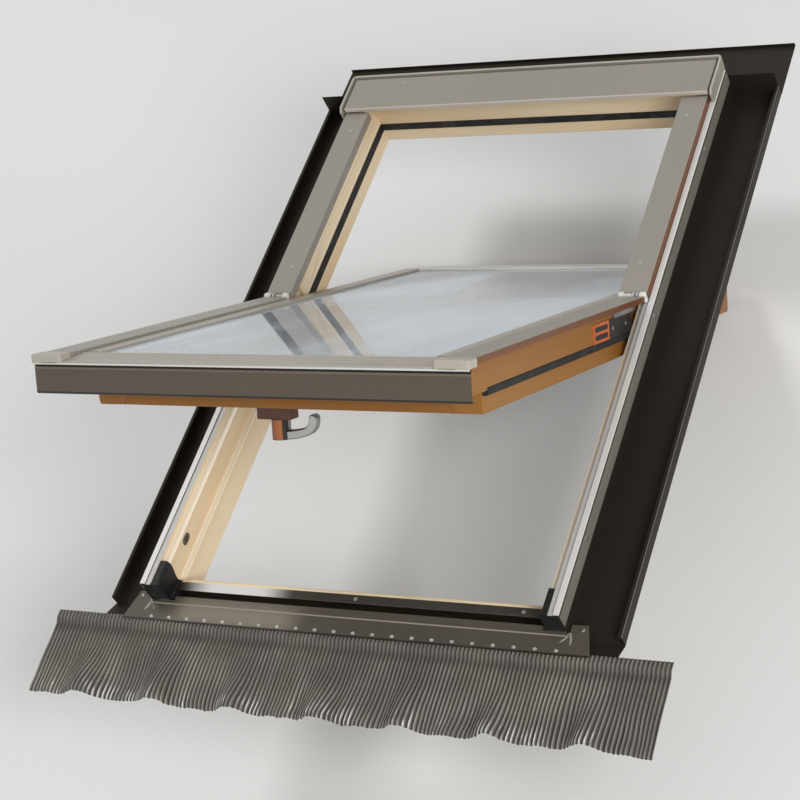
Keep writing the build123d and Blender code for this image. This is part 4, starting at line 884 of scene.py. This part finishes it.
class ROOFWINDOW_OT_flashings(bpy.types.Operator):
    """Paint gutters and flashings. Add clinches, folded corner seams and rivets to the sill flashing"""

    bl_idname = "roofwindow.flashings"
    bl_label = "Flashings"

    def execute(self, context):
        metal = context.scene.roof_metal
        hem = {
            "X": (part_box("side_flashings")[1].x - 0.0015, FAR),
            "Z": (COVER_PLANE - 0.0665, COVER_PLANE - 0.064)}
        # painted shade: the gutters' near-black paint
        gutter = painted("gutter_paint", metal.flashing, 0.5, 0.0, 0.1, sheen=0.15, zones=[
            (shade(metal.cladding, 0.6), hem)])
        dress(gutter, "side_flashings", "head_flashing")
        low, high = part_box("sill_flashing")
        # painted highlight on the left part and along the crease, and a painted shadow along the lower edge
        highlight_box = {"x": (low.x + 0.094, low.x + 0.334), "Y": (low.y, low.y + 0.039)}
        crease_highlight = {"Y": (low.y + 0.0325, low.y + 0.0375), "Z": (high.z - 0.0006, FAR)}
        edge_shadow = {"Y": (-FAR, low.y + 0.0032)}
        dress(painted("sill_flashing_paint", metal.sill, 0.4, 0.15, zones=[
            (shade(metal.sill, 2.8), highlight_box, 0.03), (shade(metal.sill, 3.6), crease_highlight),
            (metal.dark, edge_shadow)]), "sill_flashing")
        dress(zinc("bracket_steel", context.scene.roof_fittings.steel), "brackets")
        top = high.z - 0.001
        self.clinches(metal, low, high, top)
        self.corners(metal, top)
        return {"FINISHED"}

    def clinches(self, metal, low, high, top):
        """Pressed dots in a row along the flashing's lower edge."""
        pitch, inset, bare_ends, flatter = 0.036, 0.008, 0.09, 0.75
        dot = [
            (0.0, 0.0001), (0.001, 0.0001), (0.0016, 0.0009),
            (0.0026, 0.0014), (0.0034, 0.0009), (0.004, -0.0002)]
        made = bmesh.new()
        count = int((high.x - low.x - bare_ends) / pitch)
        for i in range(count + 1):
            place = Matrix.Translation(((i - count / 2) * pitch, low.y + inset, top))
            spun(made, dot, place @ Matrix.Scale(flatter, 4, (0, 1, 0)), 18)
        piece("flashing_clinches", made, zinc("clinch_zinc", metal.clinch, 0.26), "frame")

    def corners(self, metal, top):
        """Two pinched folds and a rivet at each lower corner of the frame."""
        low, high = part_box("side_claddings")
        rivet = [(0.0, 0.0015), (0.0012, 0.0014), (0.0024, 0.001), (0.0031, 0.0004), (0.0034, -0.0002)]
        width, rise = 0.0042, 0.002
        made = bmesh.new()
        for side in (-1, 1):
            corner = Vector((side * (high.x + 0.0015), low.y - 0.0005, top))
            for aside, down in ((-0.0125, -0.0185), (0.0065, -0.0215)):
                fold(made, corner, corner + Vector((side * aside, down, 0.0)), width, rise)
            place = Matrix.Translation((side * (high.x + 0.0225), low.y + 0.0065, top))
            spun(made, rivet, place, 20)
        piece("corner_folds", made, zinc("fold_zinc", metal.seam, 0.28), "frame")


class ROOFWINDOW_OT_apron(bpy.types.Operator):
    """Build the pleated apron as dressed sheet: straight pleats, then fanned out over waves"""

    bl_idname = "roofwindow.apron"
    bl_label = "Pleated apron"

    def execute(self, context):
        apron = context.scene.roof_apron
        shape, crests, downs = pleated_sheet(apron)
        material = pleated("apron_paint", context.scene.roof_metal)
        made = piece("pleated_sheet", shape, material, "frame", ("pleated_apron",))
        for name, values in (("crest", crests), ("down", downs)):
            made.data.attributes.new(name, "FLOAT", "POINT").data.foreach_set("value", values)
        shell = made.modifiers.new("Thickness", "SOLIDIFY")
        shell.thickness = apron.sheet
        shell.offset = -1.0
        return {"FINISHED"}


class ROOFWINDOW_OT_glazing(bpy.types.Operator):
    """Give the glazing unit its glass, spacer and bedding tape"""

    bl_idname = "roofwindow.glazing"
    bl_label = "Glazing"

    def execute(self, context):
        fittings = context.scene.roof_fittings
        outer = glass("float_glass", fittings.outer_glass, fittings.sky_reflection, fittings.sky_reflection_share)
        dress(outer, "glass_outer")
        dress(glass("float_glass_inner", fittings.inner_glass), "glass_inner")
        dress(zinc("spacer_aluminium", fittings.spacer, 0.42), "glass_spacer")
        dress(rubber("bedding_tape"), "glazing_tape")
        return {"FINISHED"}


class ROOFWINDOW_OT_seals(bpy.types.Operator):
    """Give the seals their rubber and the corner blocks their plastic. Line the bolt's lower keep"""

    bl_idname = "roofwindow.seals"
    bl_label = "Seals and corner blocks"

    def execute(self, context):
        fittings = context.scene.roof_fittings
        dress(rubber("black_rubber"), "frame_seal", "sash_seals")
        dress(moulding("black_moulding", fittings.corner), "corner_blocks")
        soften("corner_blocks", 0.001)
        self.keep(moulding("keep_moulding", fittings.keep))
        return {"FINISHED"}

    def keep(self, material):
        """Round-ended slot with a thin rim, in the left stile's face."""
        middle = lower_keep()
        radius, half_straight = 0.0045, 0.0025
        steps = 12
        outline = []
        for end in (-1, 1):
            for i in range(steps + 1):
                angle = math.pi * (i / steps - 0.5 * end)
                outline.append((end * half_straight + radius * math.cos(angle), radius * math.sin(angle)))
        lining = ((1.75, 0.0001), (1.68, 0.0004), (1.0, 0.0005), (0.88, -0.0004), (0.86, -0.0075))
        made = bmesh.new()
        rings = [
            [made.verts.new(middle + Vector((proud, grow * y, grow * z))) for y, z in outline]
            for grow, proud in lining]
        skin(made, rings, closed=True)
        made.faces.new(rings[-1])
        piece("keep_lining", made, material, "frame", smooth=False)


class ROOFWINDOW_OT_hinges(bpy.types.Operator):
    """Finish the pivot plates, pins, washers and moulded shoes. Add caps, sleeves and screws"""

    bl_idname = "roofwindow.hinges"
    bl_label = "Pivot hinges"

    def execute(self, context):
        fittings = context.scene.roof_fittings
        steel = zinc("plated_steel", fittings.steel)
        dress(steel, "sash_pivot_plates", "frame_pivot_plates", "pivot_pins")
        dress(moulding("washer_nylon", fittings.washer), "friction_washers")
        dress(moulding("orange_moulding", fittings.shoe), "hinge_shoes")
        dress(moulding("pad_moulding", fittings.pad), "hinge_pads")
        nylon = moulding("white_nylon", fittings.nylon)
        self.caps(nylon)
        self.sleeves(nylon)
        self.plate_screws(steel)
        return {"FINISHED"}

    def along_pivot(self, side, distance):
        """Matrix that stands local Z outward along the pivot, at a distance from the middle."""
        outward = Matrix.Rotation(side * math.pi / 2, 4, "Y")
        return Matrix.Translation(PIVOT) @ outward @ Matrix.Translation((0.0, 0.0, distance))

    def caps(self, nylon):
        """Round cap on each end of the pivot, with a small foot under it."""
        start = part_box("pivot_pins")[1].x + 0.0009
        radius, length = 0.007, 0.011
        foot_size, foot_edge = (0.0066, 0.0096, 0.0118), 0.0008
        cap = [
            (0.0, 0.0), (radius - 0.0008, 0.0), (radius, 0.0008), (radius, length - 0.0017),
            (radius - 0.0012, length - 0.0002), (0.0, length)]
        made = bmesh.new()
        for side in (-1, 1):
            spun(made, cap, self.along_pivot(side, start), 28)
            foot = (side * (start + 0.0073), PIVOT.y, PIVOT.z - 0.0098)
            rounded_block(made, foot_size, foot, foot_edge)
        piece("pivot_caps", made, nylon, "frame")

    def sleeves(self, nylon):
        """Collar and sleeve on the pin, on the sash's side."""
        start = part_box("pivot_pins")[1].x - 0.0371
        radius, bore, collar, length = 0.007, 0.0042, 0.0093, 0.026
        sleeve = [
            (0.0, 0.0), (radius - 0.0012, 0.0002), (radius, 0.0013), (radius, collar - 0.001),
            (radius - 0.001, collar), (bore, collar), (bore, length), (0.0, length)]
        made = bmesh.new()
        for side in (-1, 1):
            spun(made, sleeve, self.along_pivot(side, start), 28)
        piece("pivot_sleeves", made, nylon, "sash")

    def plate_screws(self, steel):
        """Two cross-head screws in each plate on the sash."""
        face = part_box("hinge_pads")[1].x
        upper, lower = -0.005, -0.062
        radius, rise = 0.0035, 0.0005
        made = bmesh.new()
        for side in (-1, 1):
            for y in (upper, lower):
                place = SWING @ Vector((side * face, y, COVER_PLANE - LOCK_DROP))
                cross_head(made, seat(place, (side, 0, 0), y * 30), radius, rise)
        piece("hinge_screws", made, steel, "sash", smooth=False)


class ROOFWINDOW_OT_handle(bpy.types.Operator):
    """Finish the lever, its base and the barrel bolt"""

    bl_idname = "roofwindow.handle"
    bl_label = "Handle and bolt"

    def execute(self, context):
        fittings = context.scene.roof_fittings
        dress(satin("satin_silver", fittings, context.scene.roof_metal.dark), "handle_lever")
        dress(moulding("brown_moulding", fittings.base), "handle_base")
        dress(zinc("bolt_steel", fittings.steel), "bolt", "bolt_guide")
        return {"FINISHED"}


class ROOFWINDOW_OT_screws(bpy.types.Operator):
    """Replace the plain screw heads with cross-head screws"""

    bl_idname = "roofwindow.screws"
    bl_label = "Screws"

    def execute(self, context):
        steel = zinc("screw_steel", context.scene.roof_fittings.screw, 0.36)
        for node in ("cover_screws", "wall_screws", "sill_screws"):
            made = bmesh.new()
            for low, high in loose_parts(node):
                size, place = high - low, (low + high) / 2
                thin = min(range(3), key=lambda axis: size[axis])
                outward = Vector()
                outward[thin] = math.copysign(1.0, place[thin])
                place -= outward * size[thin] / 2
                turn = place.x * 9 + place.y * 5
                cross_head(made, seat(place, outward, turn), max(size) / 2, size[thin])
            piece(node[:-1] + "_heads", made, steel, "frame", (node,), smooth=False)
        return {"FINISHED"}


class ROOFWINDOW_OT_stage(bpy.types.Operator):
    """Set the plain floor, the soft studio light and the camera"""

    bl_idname = "roofwindow.stage"
    bl_label = "Stage"

    def execute(self, context):
        stage = context.scene.roof_stage
        self.floor(stage)
        self.world(context.scene, stage)
        self.lamp("key_lamp", stage.key_at, stage.key_size, stage.key)
        self.lamp("fill_lamp", stage.fill_at, stage.fill_size, stage.fill)
        self.camera(context.scene, stage)
        context.scene.view_settings.view_transform = "Standard"
        return {"FINISHED"}

    def floor(self, stage):
        plane = bmesh.new()
        bmesh.ops.create_grid(plane, x_segments=8, y_segments=8, size=20.0)
        mesh = bpy.data.meshes.new("floor")
        plane.to_mesh(mesh)
        plane.free()
        finish = Finish("floor_paint", Roughness=0.85, Specular_IOR_Level=0.2)
        cloud = finish.noise(3.0)
        mesh.materials.append(
            finish.feed(Base_Color=finish.mix(cloud, shade(stage.floor, 0.99), stage.floor)))
        stand("floor", mesh, (0.0, 0.0, CAD_BOX[0].z - 0.001))

    def world(self, scene, stage):
        """White background, which lights the window only as much as the ambient light says."""
        scene.world = bpy.data.worlds.new("studio")
        scene.world.use_nodes = True
        light = Shading(scene.world.node_tree)
        camera, glossy, through = (
            light.node("ShaderNodeLightPath", output="Is " + kind + " Ray")
            for kind in ("Camera", "Glossy", "Transmission"))
        seen = camera.larger(glossy).larger(through)
        background = light.tree.nodes["Background"]
        light.give(background.inputs["Color"], (1.0, 1.0, 1.0))
        light.give(background.inputs["Strength"], seen * (1.0 - stage.ambient) + stage.ambient)

    def lamp(self, name, place, size, power):
        """Round lamp that looks at the window, and that no surface mirrors."""
        target = Vector((0.0, -0.1, 0.1))
        light = bpy.data.lights.new(name, "AREA")
        light.shape = "DISK"
        light.size = size
        light.energy = power
        holder = stand(name, light, place, (Vector(place) - target).to_track_quat("Z", "Y").to_euler())
        holder.visible_glossy = False
        holder.visible_transmission = False

    def camera(self, scene, stage):
        camera = bpy.data.cameras.new("camera")
        camera.sensor_width = 36.0
        camera.lens = stage.lens
        camera.shift_x, camera.shift_y = stage.shift
        scene.camera = stand("camera", camera, stage.camera_at, stage.camera_turn)


PIECES = (
    ROOFWINDOW_OT_timber, ROOFWINDOW_OT_cladding, ROOFWINDOW_OT_flashings, ROOFWINDOW_OT_apron,
    ROOFWINDOW_OT_glazing, ROOFWINDOW_OT_seals, ROOFWINDOW_OT_hinges, ROOFWINDOW_OT_handle,
    ROOFWINDOW_OT_screws, ROOFWINDOW_OT_stage)
SETTINGS = {
    "roof_timber": TimberSettings, "roof_metal": MetalSettings, "roof_fittings": FittingSettings,
    "roof_apron": ApronSettings, "roof_stage": StageSettings}


class ROOFWINDOW_PT_panel(bpy.types.Panel):
    """Lists the pieces of the roof window and their settings"""

    bl_idname = "ROOFWINDOW_PT_panel"
    bl_label = "Roof Window"
    bl_space_type = "VIEW_3D"
    bl_region_type = "UI"
    bl_category = "Roof Window"

    def draw(self, context):
        for operator in PIECES:
            self.layout.operator(operator.bl_idname)
        for name in SETTINGS:
            box = self.layout.box()
            group = getattr(context.scene, name)
            for prop in group.bl_rna.properties:
                if not prop.is_readonly and prop.identifier != "name":
                    box.prop(group, prop.identifier)


def register():
    for name, group in SETTINGS.items():
        bpy.utils.register_class(group)
        setattr(bpy.types.Scene, name, PointerProperty(type=group))
    for made in (*PIECES, ROOFWINDOW_PT_panel):
        bpy.utils.register_class(made)


def unregister():
    for made in (ROOFWINDOW_PT_panel, *reversed(PIECES)):
        bpy.utils.unregister_class(made)
    for name, group in reversed(SETTINGS.items()):
        delattr(bpy.types.Scene, name)
        bpy.utils.unregister_class(group)


def main():
    register()
    for operator in PIECES:
        family, action = operator.bl_idname.split(".")
        getattr(getattr(bpy.ops, family), action)()


if __name__ == "__main__":
    main()
